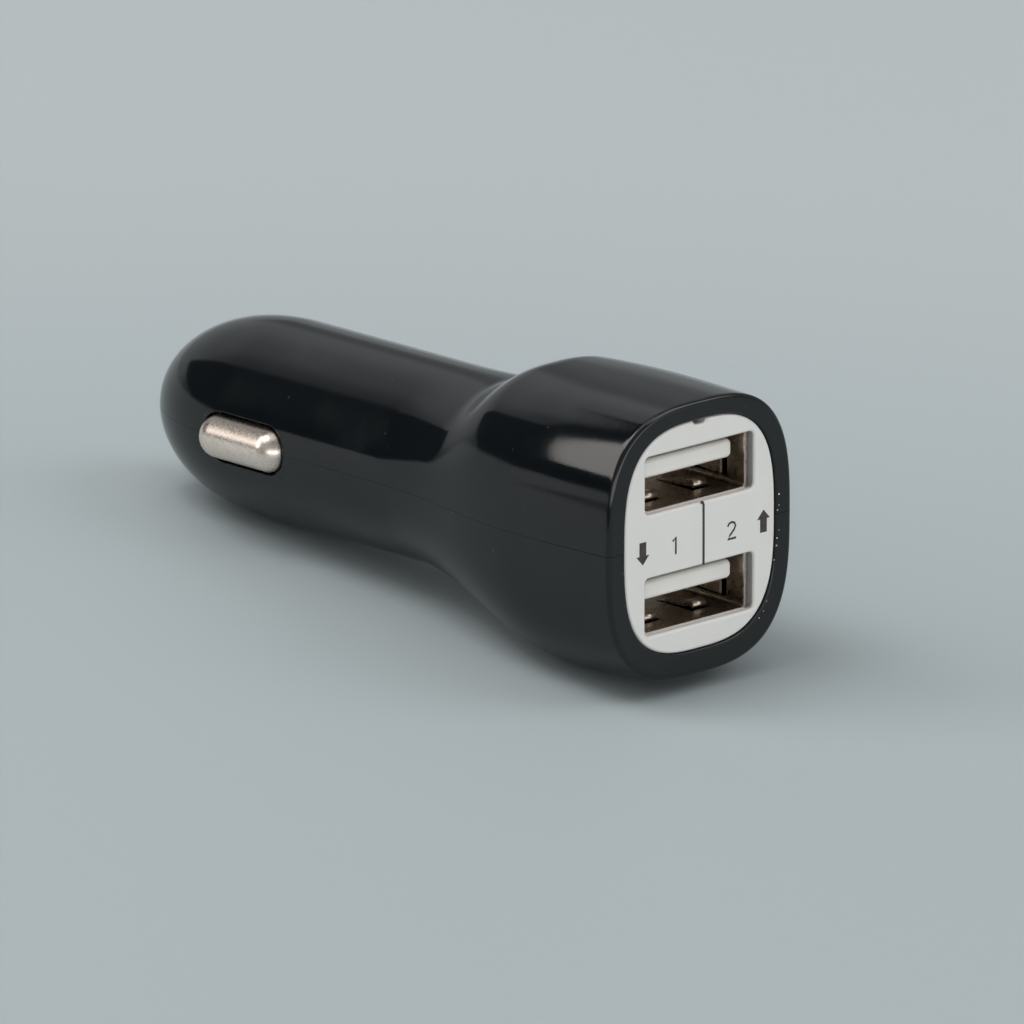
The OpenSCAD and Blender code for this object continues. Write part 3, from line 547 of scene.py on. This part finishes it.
def slot_cutter(side):
    """The block that opens one slot, a little wider than the slot for its rolled edge."""
    grown = SLOT_ROUND + SLOT_EDGE
    corner = [math.radians(a) for a in range(-90, 91, 6)]
    flat = [(PILL_REACH + grown * math.cos(a), grown * math.sin(a)) for a in corner]
    flat += [(-x, -z) for x, z in flat]
    rows = [[(-CONTACT_STATION + x, side * y, z) for x, z in flat] for y in (6.0, 12.0)]
    count = len(flat)
    faces = strip_faces(2, count) + [tuple(range(count))[::-1], tuple(range(count, 2 * count))]
    return make_piece("slot_cutter", np.array(rows).reshape(-1, 3), faces, BLACK)


def slot_edge(half, side):
    """Points and faces of the rolled edge and wall of a slot in one half."""
    rows = []
    for k in range(7):
        a = math.radians(15 * k)
        contour = stadium_contour(SLOT_ROUND + SLOT_EDGE * (1 - math.sin(a)), half)
        rows.append((SLOT_EDGE * (1 - math.cos(a)), contour))
    rows.append((WALL - 0.1, stadium_contour(SLOT_ROUND, half)))
    points = []
    for depth, contour in rows:
        for x, z in contour:
            radius = nose_radius(CONTACT_STATION - x) - depth
            points.append((-CONTACT_STATION + x, side * math.sqrt(radius ** 2 - z ** 2), z))
    return points, strip_faces(len(rows), len(rows[0][1]), closed=False)


def housing_half(name, half):
    """One moulded half: half is 1 for the upper and -1 for the lower."""
    angles = np.linspace(0, math.pi, ARC_STEPS + 1)
    loop = housing_loop(half)
    rings = []
    for s, w, h, n in loop:
        row = ring(s, w, h, n, angles)
        row[:, 2] = np.maximum(row[:, 2], seam_gap(s) / 2)
        rings.append(row)
    points = np.array(rings).reshape(-1, 3)
    points[:, 2] *= half
    count = ARC_STEPS + 1
    faces = []
    for k in range(len(loop)):
        a, b = k * count, (k + 1) % len(loop) * count
        faces += [(a + i, a + i + 1, b + i + 1, b + i) for i in range(count - 1)]
    faces.append(tuple(k * count for k in range(len(loop))))
    faces.append(tuple(k * count + count - 1 for k in range(len(loop)))[::-1])
    piece = make_piece(name, points, faces, BLACK)
    for side in (1, -1):
        cut(piece, slot_cutter(side))
    bm = bmesh.new()
    bm.from_mesh(piece.data)
    for side in (1, -1):
        edge_points, edge_faces = slot_edge(half, side)
        verts = [bm.verts.new(tuple(p)) for p in place(edge_points)]
        for f in edge_faces:
            face = bm.faces.new([verts[i] for i in (f if half * side < 0 else f[::-1])])
            face.smooth = True
    bm.to_mesh(piece.data)
    bm.free()
    return piece


upper = housing_half("upper_housing", 1)
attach(upper, "housing")
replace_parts(upper, "upper_shell")
lower = housing_half("lower_housing", -1)
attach(lower, "housing")
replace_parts(lower, "lower_shell")


# Face plate.
def rounded_rectangle(w, h, r, steps=8):
    """Outline points of a rounded rectangle, counter-clockwise from the right."""
    points = []
    for cx, cy, start in ((w - r, h - r, 0), (r - w, h - r, 90), (r - w, r - h, 180), (w - r, r - h, 270)):
        for k in range(steps + 1):
            a = math.radians(start + 90 * k / steps)
            points.append((cx + r * math.cos(a), cy + r * math.sin(a)))
    return points


def plate_outline(inset, count=240):
    """The plate's outline with its notch at the top, moved inwards by inset."""
    angles = np.linspace(0, 2 * math.pi, count, endpoint=False)
    yz = outline(PLATE_HALF_WIDTH - inset, PLATE_HALF_HEIGHT - inset, RIM_SQUARENESS, angles)
    half_notch = KEY_WIDTH / 2 + PLATE_CLEARANCE
    floor = PLATE_HALF_HEIGHT - KEY_DEPTH
    for p in yz:
        if p[1] > 0:
            depth = ease((half_notch + inset + 0.12 - abs(p[0])) / 0.12)
            p[1] -= depth * max(0.0, p[1] - (floor - inset))
    return [tuple(p) for p in yz]


def plate_edge_rows():
    """Rows of the plate's outer wall and its rolled front edge: (station, inset)."""
    rows = [(PLATE_BACK, 0.0), (PLATE_RECESS + PLATE_EDGE, 0.0)]
    rows += [(PLATE_RECESS + PLATE_EDGE * (1 - math.sin(a)), PLATE_EDGE * (1 - math.cos(a)))
             for a in [math.radians(15 * k) for k in range(1, 7)]]
    return rows + [(PLATE_RECESS, PLATE_EDGE + 0.06)]


def face_plate():
    points, faces, fronts = [], [], []
    rows = plate_edge_rows()
    count = len(plate_outline(0))
    for s, inset in rows:
        points += [(-s, y, z) for y, z in plate_outline(inset)]
    faces += strip_faces(len(rows), count)
    fronts.append([(len(rows) - 1) * count + i for i in range(count)])
    backs = [list(range(count))]
    for side in (1, -1):
        start = len(points)
        ring_rows = []
        e = APERTURE_EDGE
        ring_rows.append((PLATE_RECESS, e + 0.06))
        for k in range(7):
            a = math.radians(15 * k)
            ring_rows.append((PLATE_RECESS + e * (1 - math.cos(a)), e * (1 - math.sin(a))))
        ring_rows.append((APERTURE_LIP, 0.0))
        for s, grow in ring_rows:
            for y, z in rounded_rectangle(APERTURE_WIDTH / 2 + grow, APERTURE_HEIGHT / 2 + grow,
                                          APERTURE_CORNER + grow):
                points.append((-s, y, z + side * PORT_PITCH / 2))
        pocket_w, pocket_h = APERTURE_WIDTH / 2 + POCKET_STEP, CAN_HEIGHT / 2 + CAN_CLEARANCE
        pocket_rows = ((APERTURE_LIP, APERTURE_HEIGHT / 2), (CAN_FRONT, APERTURE_HEIGHT / 2),
                       (CAN_FRONT, pocket_h), (PLATE_BACK, pocket_h))
        for s, h in pocket_rows:
            for y, z in rounded_rectangle(pocket_w, h, POCKET_CORNER):
                points.append((-s, y, z + side * PORT_PITCH / 2))
        n = len(rounded_rectangle(1, 1, 0.1))
        faces += [f[::-1] for f in strip_faces(len(ring_rows) + len(pocket_rows), n, start)]
        fronts.append([start + i for i in range(n)])
        backs.append([start + (len(ring_rows) + len(pocket_rows) - 1) * n + i for i in range(n)])
    faces += fill_between(points, fronts) + fill_between(points, backs)
    return make_piece("face_plate_cover", points, faces, PALE, sharp=40)


def fill_between(points, loops):
    """Triangles that fill the first loop around the others, all in one plane across the plug."""
    bm = bmesh.new()
    keys = {}
    edges = []
    for loop in loops:
        verts = []
        for i in loop:
            v = bm.verts.new((points[i][1], points[i][2], 0))
            keys[v] = i
            verts.append(v)
        edges += [bm.edges.new((verts[k], verts[(k + 1) % len(verts)])) for k in range(len(verts))]
    bmesh.ops.triangle_fill(bm, use_beauty=True, use_dissolve=False, edges=edges)
    faces = [tuple(keys[v] for v in f.verts) for f in bm.faces]
    bm.free()
    return faces


plate = face_plate()
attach(plate, "housing")
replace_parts(plate, "face_plate")


# Port insides.
def tongue_cover(side):
    """The insulating tongue, its front edges well rounded, down to its base block."""
    mid, half_t, half_w = TONGUE_RISE + TONGUE_THICKNESS / 2, TONGUE_THICKNESS / 2, TONGUE_WIDTH / 2
    rows = [(BASE_FRONT, 0.0), (TONGUE_FRONT + TONGUE_EDGE, 0.0)]
    rows += [(TONGUE_FRONT + TONGUE_EDGE * (1 - math.sin(a)), TONGUE_EDGE * (1 - math.cos(a)))
             for a in [math.radians(11.25 * k) for k in range(1, 9)]]
    points, count = [], 0
    for s, inset in rows:
        section = rounded_rectangle(half_w - inset * 0.6, half_t - inset, max(0.02, 0.5 - inset))
        count = len(section)
        points += [(-s, y, side * PORT_PITCH / 2 + mid + z) for y, z in section]
    faces = strip_faces(len(rows), count)
    faces += [tuple(range(count))[::-1], tuple((len(rows) - 1) * count + i for i in range(count))]
    return points, faces


def box_faces(start):
    return [tuple(start + i for i in f) for f in
            ((0, 1, 2, 3), (7, 6, 5, 4), (0, 4, 5, 1), (1, 5, 6, 2), (2, 6, 7, 3), (3, 7, 4, 0))]


def tongue_piece(name, side):
    """Tongue and base block of one port, the base block inside its can."""
    points, faces = tongue_cover(side)
    w, h = CAN_WIDTH / 2 - CAN_SHEET - 0.05, CAN_HEIGHT / 2 - CAN_SHEET - 0.05
    start = len(points)
    for s in (BASE_FRONT, CAN_BACK - CAN_SHEET):
        points += [(-s, y, side * PORT_PITCH / 2 + z) for y, z in ((-w, -h), (w, -h), (w, h), (-w, h))]
    faces += box_faces(start)
    piece = make_piece(name, points, faces, WHITE, sharp=50)
    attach(piece, "housing")
    return piece


for node, side in (("tongue_upper", 1), ("tongue_lower", -1)):
    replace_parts(tongue_piece(node + "_moulded", side), node)


def finger_curls():
    """The curled free ends of the spring fingers along the bottom of each port."""
    points, faces = [], []
    arc = [math.radians(a) for a in range(-60, 91, 15)]
    half = FINGER_WIDTH / 2 - 0.08
    for side in (1, -1):
        floor_z = side * PORT_PITCH / 2 - CAN_HEIGHT / 2 + CAN_SHEET
        for y in (-FINGER_OFFSET, FINGER_OFFSET):
            rows = []
            for a in arc:
                reach = CAN_FRONT + 2.42 + 0.55 * (1 - math.cos(a))
                rows.append((reach, floor_z + 0.36 + 0.42 * math.sin(a)))
            rows.append((CAN_FRONT + 3.6, floor_z + 0.66))
            start = len(points)
            for s, z in rows:
                points += [(-s, y - half, z), (-s, y + half, z)]
            faces += strip_faces(len(rows), 2, start, closed=False)
    piece = make_piece("finger_curls", points, faces, CURL, sharp=60)
    solid = piece.modifiers.new("sheet", "SOLIDIFY")
    solid.thickness = 0.00016
    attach(piece, "housing")


finger_curls()


# Contacts and tip.
def side_contact(name, side):
    """A pressed pill with a curved flange behind the barrel wall."""
    centre = CONTACT_APEX - CONTACT_ROUND
    steps = 18
    profile = [("curve", FLANGE_IN, CONTACT_ROUND - 0.5), ("curve", FLANGE_IN, FLANGE_ROUND),
               ("curve", FLANGE_OUT, FLANGE_ROUND), ("curve", FLANGE_OUT, PILL_ROUND)]
    for k in range(steps + 1):
        a = math.radians(88.5 * k / steps)
        profile.append(("flat", centre + CONTACT_ROUND * math.sin(a), PILL_ROUND * math.cos(a)))
    corner = [math.radians(a) for a in range(-90, 91, 5)]
    points = []
    for kind, y, radius in profile:
        reach = PILL_REACH + 0.19
        flat = [(reach + radius * math.cos(a), radius * math.sin(a)) for a in corner]
        run = [(reach * (1 - 2 * k / 12), radius) for k in range(1, 12)]
        half = flat + run
        whole = half + [(-x, -z) for x, z in half]
        for x, z in whole:
            height = math.sqrt(y ** 2 - z ** 2) if kind == "curve" else y
            points.append((-CONTACT_STATION + x, side * height, z))
    count = len(points) // len(profile)
    faces = strip_faces(len(profile), count)
    faces.append(tuple((len(profile) - 1) * count + i for i in range(count)))
    return make_piece(name, points, faces, NICKEL)


for body, node, side in (("contact_left", "side_contact_left", 1),
                         ("contact_right", "side_contact_right", -1)):
    pill = side_contact(node + "_pill", side)
    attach(pill, body)
    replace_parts(pill, node)


def tip():
    """The turned pin with its domed end."""
    dome = BODY_LENGTH + TIP_STAND_OUT - TIP_RADIUS
    profile = [(TIP_FLANGE_BACK, 0.05), (TIP_FLANGE_BACK, TIP_FLANGE_RADIUS - 0.1),
               (TIP_FLANGE_BACK + 0.1, TIP_FLANGE_RADIUS), (TIP_FLANGE_FRONT - 0.1, TIP_FLANGE_RADIUS),
               (TIP_FLANGE_FRONT, TIP_FLANGE_RADIUS - 0.1), (TIP_FLANGE_FRONT, TIP_RADIUS),
               (dome - 0.4, TIP_RADIUS)]
    for k in range(25):
        a = math.radians(89.2 * k / 24)
        profile.append((dome + TIP_RADIUS * math.sin(a), TIP_RADIUS * math.cos(a)))
    angles = np.linspace(0, 2 * math.pi, 96, endpoint=False)
    points = [(-s, r * math.cos(a), r * math.sin(a)) for s, r in profile for a in angles]
    faces = strip_faces(len(profile), 96)
    faces += [tuple(range(96))[::-1], tuple((len(profile) - 1) * 96 + i for i in range(96))]
    return make_piece("tip_pin_turned", points, faces, NICKEL)


pin = tip()
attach(pin, "tip")
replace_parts(pin, "tip_pin")


# Springs.
def coil(name, radius, wire, turns, start, end, to_plug):
    """A wound wire spring from start to end along its own axis."""
    per_turn, sides = 24, 8
    steps = per_turn * turns
    points = []
    for k in range(steps + 1):
        a, along = 2 * math.pi * k / per_turn, start + wire + (end - start - 2 * wire) * k / steps
        for i in range(sides):
            b = 2 * math.pi * i / sides
            r = radius + wire * math.cos(b)
            points.append(to_plug(r * math.cos(a), r * math.sin(a), along + wire * math.sin(b)))
    faces = strip_faces(steps + 1, sides)
    faces += [tuple(range(sides))[::-1], tuple(steps * sides + i for i in range(sides))]
    spring = make_piece(name, points, faces, STEEL, sharp=60)
    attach(spring, "housing")
    return spring


tip_coil = coil("tip_spring_wound", *TIP_COIL, SPRING_SEAT + 0.02, TIP_FLANGE_BACK - 0.02,
                lambda u, v, h: (-h, u, v))
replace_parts(tip_coil, "tip_spring")
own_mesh(tip_coil)
for node, joint, side in (("side_spring_left", "press_left", 1), ("side_spring_right", "press_right", -1)):
    side_coil = coil(node + "_wound", *SIDE_COIL, SIDE_SEAT + 0.02, SIDE_SPRING_END,
                     lambda u, v, h, side=side: (u - CONTACT_STATION, side * h, v))
    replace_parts(side_coil, node)
    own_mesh(side_coil)


# Pale flecks on the rim: painted glints.
# The place (y, z) and the radius of each. The places were measured in the photograph and turned
# into millimetres by a script.
PAINTED_GLINTS = ((9.83, 1.82, 0.09), (9.83, 0.79, 0.05), (9.65, 0.36, 0.06), (9.85, -1.55, 0.05),
          (9.6, -2.25, 0.085), (9.54, -2.94, 0.085), (9.23, -4.24, 0.06), (8.31, -7.9, 0.05),
          (7.93, -8.76, 0.05), (7.37, -9.3, 0.065))


def rim_painted_glints():
    """Pale flecks on the rim beside the plate, standing as painted glints."""
    points, faces = [], []
    for k, (y, z, r) in enumerate(PAINTED_GLINTS):
        start = len(points)
        for out, spread in ((-0.004, 1.0), (0.25 * r, 0.8)):
            for j in range(7):
                a = 2 * math.pi * j / 7 + k
                reach = r * spread * (1 + 0.2 * math.sin(3 * j + 2 * k))
                points.append((out, y + reach * math.cos(a), z + reach * math.sin(a)))
        points.append((0.42 * r, y, z))
        faces += strip_faces(2, 7, start)
        faces += [(start + 7 + j, start + 7 + (j + 1) % 7, start + 14) for j in range(7)]
        faces.append(tuple(start + j for j in range(7))[::-1])
    piece = make_piece("rim_painted_glints", points, faces, PALE, sharp=60)
    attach(piece, "housing")


rim_painted_glints()


# Printed marks.
PRINT_STATION = PLATE_RECESS - 0.012
STROKE = 0.21


def flat_mark(name, polygons):
    """Thin printed shapes on the plate, each a polygon of (y, z)."""
    points, faces = [], []
    for polygon in polygons:
        start = len(points)
        points += [(-PRINT_STATION, y, z) for y, z in polygon]
        points += [(-PLATE_RECESS + 0.002, y, z) for y, z in polygon]
        n = len(polygon)
        faces.append(tuple(range(start, start + n)))
        faces += [(start + i, start + n + i, start + n + (i + 1) % n, start + (i + 1) % n) for i in range(n)]
    piece = make_piece(name, points, faces, INK)
    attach(piece, "housing")
    return piece


def arrow(y, z, up):
    """A stout arrow with its middle at (y, z)."""
    d = 1 if up else -1
    return [(y + a, z + d * b) for a, b in
            ((0, 1.06), (-0.8, 0.2), (-0.42, 0.2), (-0.42, -1.06), (0.42, -1.06), (0.42, 0.2), (0.8, 0.2))]


def ribbon(path, width=STROKE):
    """Quads of one width that follow a path of (y, z)."""
    left, right = [], []
    for k, p in enumerate(path):
        a, b = path[max(0, k - 1)], path[min(len(path) - 1, k + 1)]
        ty, tz = b[0] - a[0], b[1] - a[1]
        size = math.hypot(ty, tz)
        ny, nz = -tz / size * width / 2, ty / size * width / 2
        left.append((p[0] + ny, p[1] + nz))
        right.append((p[0] - ny, p[1] - nz))
    return [[left[k], left[k + 1], right[k + 1], right[k]] for k in range(len(path) - 1)]


flat_mark("port_arrows", [arrow(-7.17, -0.47, False), arrow(7.95, -0.34, True)])
edge = (PORT_PITCH - APERTURE_HEIGHT) / 2
divider = [(0.05, edge - 0.02), (0.3, edge - 0.08), (0.4, edge - 0.3), (0.42, 0), (0.42, -edge + 0.02)]
flat_mark("port_divider", ribbon(divider, 0.28))
one = [(-3.45, -0.02), (-3.05, 0.32), (-3.05, -1.28)]
two = [(3.45, -0.02), (3.6, 0.22), (3.95, 0.34), (4.3, 0.22), (4.42, -0.08), (4.25, -0.4), (3.75, -0.85),
       (3.45, -1.2), (4.5, -1.2)]
flat_mark("port_numbers", ribbon(one) + ribbon(two))


# Floor and lights.
def floor():
    mat, nodes, links, shader, coords = new_material("pale_table")
    cloud = noise(nodes, links, coords, 3, 2)
    near_tone = ramp(nodes, links, cloud, [(0.3, (0.386, 0.437, 0.452)), (0.7, (0.394, 0.445, 0.460))])
    # Painted light: the table is painted a little paler towards the back.
    turned = nodes.new("ShaderNodeMapping")
    turned.inputs["Rotation"].default_value = (0, 0, math.radians(-135))
    links.new(coords.outputs["Object"], turned.inputs["Vector"])
    depth = nodes.new("ShaderNodeSeparateXYZ")
    links.new(turned.outputs["Vector"], depth.inputs[0])
    back = nodes.new("ShaderNodeMapRange")
    back.interpolation_type = "SMOOTHSTEP"
    back.inputs["From Min"].default_value = 0.0
    back.inputs["From Max"].default_value = 0.13
    links.new(depth.outputs["X"], back.inputs["Value"])
    painted_far_light = nodes.new("ShaderNodeMix")
    painted_far_light.data_type = "RGBA"
    links.new(back.outputs["Result"], painted_far_light.inputs["Factor"])
    links.new(near_tone, painted_far_light.inputs["A"])
    painted_far_light.inputs["B"].default_value = (0.452, 0.496, 0.515, 1)
    pale = painted_far_light.outputs["Result"]
    # Painted reflection: beyond the near left of the picture the table is painted dark for glossy rays only,
    # as if it ended there.
    split = nodes.new("ShaderNodeSeparateXYZ")
    links.new(coords.outputs["Object"], split.inputs[0])
    painted_reflection_edge = nodes.new("ShaderNodeMapRange")
    painted_reflection_edge.inputs["From Min"].default_value = -0.095
    painted_reflection_edge.inputs["From Max"].default_value = -0.115
    links.new(split.outputs["Y"], painted_reflection_edge.inputs["Value"])
    inside = nodes.new("ShaderNodeMapRange")
    inside.inputs["From Min"].default_value = -0.085
    inside.inputs["From Max"].default_value = -0.065
    links.new(split.outputs["X"], inside.inputs["Value"])
    path = nodes.new("ShaderNodeLightPath")
    first = nodes.new("ShaderNodeMath")
    first.operation = "MULTIPLY"
    links.new(painted_reflection_edge.outputs["Result"], first.inputs[0])
    links.new(inside.outputs["Result"], first.inputs[1])
    both = nodes.new("ShaderNodeMath")
    both.operation = "MULTIPLY"
    links.new(first.outputs[0], both.inputs[0])
    links.new(path.outputs["Is Glossy Ray"], both.inputs[1])
    painted_reflection_tone = nodes.new("ShaderNodeMix")
    painted_reflection_tone.data_type = "RGBA"
    links.new(both.outputs[0], painted_reflection_tone.inputs["Factor"])
    links.new(pale, painted_reflection_tone.inputs["A"])
    painted_reflection_tone.inputs["B"].default_value = (0.02, 0.03, 0.035, 1)
    links.new(painted_reflection_tone.outputs["Result"], shader.inputs["Base Color"])
    shader.inputs["Roughness"].default_value = 0.55
    shader.inputs["Specular IOR Level"].default_value = 0.3
    grain = noise(nodes, links, coords, 1500, 2)
    bump(nodes, links, shader, grain, 0.00002, 0.15)
    mesh = bpy.data.meshes.new("table_top")
    mesh.from_pydata([(-3, -3, 0), (3, -3, 0), (3, 3, 0), (-3, 3, 0)], [], [(0, 1, 2, 3)])
    mesh.materials.append(mat)
    plane = bpy.data.objects.new("table_top", mesh)
    bpy.context.scene.collection.objects.link(plane)


def world():
    """A pale room that is dark on the camera's left, as the reflections show."""
    room = bpy.data.worlds.new("room")
    bpy.context.scene.world = room
    room.use_nodes = True
    nodes, links = room.node_tree.nodes, room.node_tree.links
    back = nodes["Background"]
    coords = nodes.new("ShaderNodeTexCoord")
    split = nodes.new("ShaderNodeSeparateXYZ")
    links.new(coords.outputs["Generated"], split.inputs[0])

    def math_node(kind, a, b=None, c=None):
        node = nodes.new("ShaderNodeMath")
        node.operation = kind
        for socket, value in zip(node.inputs, (a, b, c)):
            if isinstance(value, (int, float)):
                socket.default_value = value
            elif value is not None:
                links.new(value, socket)
        return node.outputs[0]

    def soft_step(value, low, high):
        node = nodes.new("ShaderNodeMapRange")
        node.interpolation_type = "SMOOTHSTEP"
        node.inputs["From Min"].default_value = low
        node.inputs["From Max"].default_value = high
        links.new(value, node.inputs["Value"])
        return node.outputs["Result"]

    def blend(factor, first, second):
        node = nodes.new("ShaderNodeMix")
        node.data_type = "RGBA"
        links.new(factor, node.inputs["Factor"])
        for socket, value in ((node.inputs["A"], first), (node.inputs["B"], second)):
            if isinstance(value, tuple):
                socket.default_value = (*value, 1)
            else:
                links.new(value, socket)
        return node.outputs["Result"]

    x, y, z = split.outputs
    # The dark side of the room: its upper edge falls away towards the nose, and its lower
    # edge is the far end of the table, which rises to a pale backdrop behind the object.
    across = nodes.new("ShaderNodeMapRange")
    across.inputs["From Min"].default_value = -1.0
    across.inputs["From Max"].default_value = -0.6
    links.new(x, across.inputs["Value"])
    top = ramp(nodes, links, across.outputs["Result"],
               [(0.0, grey(0.12)), (0.1, grey(0.26)), (0.25, grey(0.44)), (0.4, grey(0.48)),
                (0.575, grey(0.56)), (0.65, grey(0.64)), (0.675, grey(0.67)), (0.775, grey(0.80)),
                (1.0, grey(0.85))])
    slope = math_node("MULTIPLY_ADD", y, -1.15, 0.21)
    steep = soft_step(x, -0.78, -0.84)
    top = math_node("MULTIPLY_ADD", math_node("SUBTRACT", slope, top), steep, top)
    horizon = math_node("MAXIMUM", math_node("MULTIPLY_ADD", y, 0.34, 0.135), 0.0)
    dark = soft_step(math_node("SUBTRACT", top, z), -0.015, 0.02)
    dark = math_node("MULTIPLY", dark, soft_step(math_node("SUBTRACT", z, horizon), -0.015, 0.015))
    dark = math_node("MULTIPLY", dark, soft_step(y, 0.23, 0.17))
    dark = math_node("MULTIPLY", dark, soft_step(x, -0.25, -0.4))

    # Behind the object the room is dim, most of all on the left. In front of it a low band
    # of windows is bright. Overhead it is bright again.
    behind = ramp(nodes, links, z, [(0.0, (0.36, 0.38, 0.39)), (0.40, (0.44, 0.46, 0.47)),
                                    (0.52, (0.54, 0.56, 0.57)), (0.68, (0.50, 0.52, 0.53)),
                                    (0.76, (0.30, 0.31, 0.32))])
    dimmer = math_node("MULTIPLY", soft_step(y, 0.0, -0.25), 0.5)
    behind = blend(dimmer, behind, (0.05, 0.06, 0.07))
    corner = math_node("MULTIPLY", soft_step(y, 0.52, 0.62), soft_step(z, 0.12, 0.22))
    behind = blend(math_node("MULTIPLY", corner, 0.5), behind, (0.04, 0.045, 0.05))
    facing = math_node("MULTIPLY_ADD", x, 0.978, math_node("MULTIPLY", y, -0.208))
    band = math_node("MULTIPLY", soft_step(facing, 0.5, 0.8), soft_step(z, 0.32, 0.2))
    ahead = blend(band, (0.29, 0.30, 0.30), (2.35, 2.35, 2.32))
    bright = blend(soft_step(x, -0.3, 0.2), behind, ahead)
    bright = blend(soft_step(z, 0.88, 0.97), bright, (1.35, 1.35, 1.34))
    lit = blend(dark, bright, (0.02, 0.035, 0.045))
    # A bright window low on that side.
    lean = math_node("MULTIPLY_ADD", y, -0.298, math_node("MULTIPLY", z, 0.255))
    lean = math_node("MULTIPLY_ADD", x, 0.388, lean)
    pane = math_node("MULTIPLY", soft_step(lean, -0.004, 0.004), soft_step(z, 0.185, 0.2))
    pane = math_node("MULTIPLY", pane, soft_step(z, 0.8, 0.75))
    pane = math_node("MULTIPLY", pane, soft_step(x, -0.38, -0.42))
    pane = math_node("MULTIPLY", pane, soft_step(y, -0.1, -0.15))
    lit = blend(pane, lit, (3.5, 3.4, 3.3))
    path = nodes.new("ShaderNodeLightPath")
    seen = blend(path.outputs["Is Camera Ray"], lit, (0.47, 0.52, 0.54))
    links.new(seen, back.inputs["Color"])
    back.inputs["Strength"].default_value = 1.0


def area_light(name, azimuth, elevation, distance, size, watts, colour=(1, 1, 1)):
    """A soft panel that looks at the object from a direction in the row frame."""
    light = bpy.data.lights.new(name, "AREA")
    light.shape = "RECTANGLE"
    light.size, light.size_y = size
    light.energy = watts
    light.color = colour
    lamp = bpy.data.objects.new(name, light)
    a, e = math.radians(azimuth), math.radians(elevation)
    away = Vector((math.cos(a) * math.cos(e), math.sin(a) * math.cos(e), math.sin(e)))
    lamp.location = away * distance + Vector((0, 0, 0.012))
    lamp.rotation_mode = "QUATERNION"
    lamp.rotation_quaternion = away.to_track_quat("Z", "Y")
    bpy.context.scene.collection.objects.link(lamp)


floor()
world()
# A panel of radiance L and area A needs about pi * L * A watts.
area_light("key", 238, 63, 1.5, (0.75, 0.75), math.pi * 5.0 * 0.75 * 0.75, (1.0, 0.99, 0.98))
area_light("fill", 48, 46, 1.5, (0.82, 0.82), math.pi * 2.0 * 0.82 * 0.82, (1.0, 0.99, 0.98))


# Camera.
def camera():
    """The photograph's view: 46 degrees round from the face and 16 above the plug's own axis."""
    az, el, distance, pixels_per_mm = math.radians(46.27), math.radians(15.79), 1500.0, 11.16
    right = Vector((math.cos(az), math.sin(az), 0))
    up = Vector((-math.sin(az) * math.sin(el), math.cos(az) * math.sin(el), math.cos(el)))
    back = right.cross(up)
    aim = right * (-16.92) + up * 1.98
    data = bpy.data.cameras.new("camera")
    data.sensor_width = 36
    data.lens = 36 * pixels_per_mm * distance / 1024
    data.clip_start, data.clip_end = 0.05, 20
    cam = bpy.data.objects.new("camera", data)
    spot = place(tuple(aim + back * distance))
    axes = [turn(v) for v in (right, up, back)]
    cam.matrix_world = Matrix.Translation(Vector(spot)) @ Matrix(axes).transposed().to_4x4()
    bpy.context.scene.collection.objects.link(cam)
    bpy.context.scene.camera = cam


camera()
bpy.context.scene.view_settings.view_transform = "Standard"
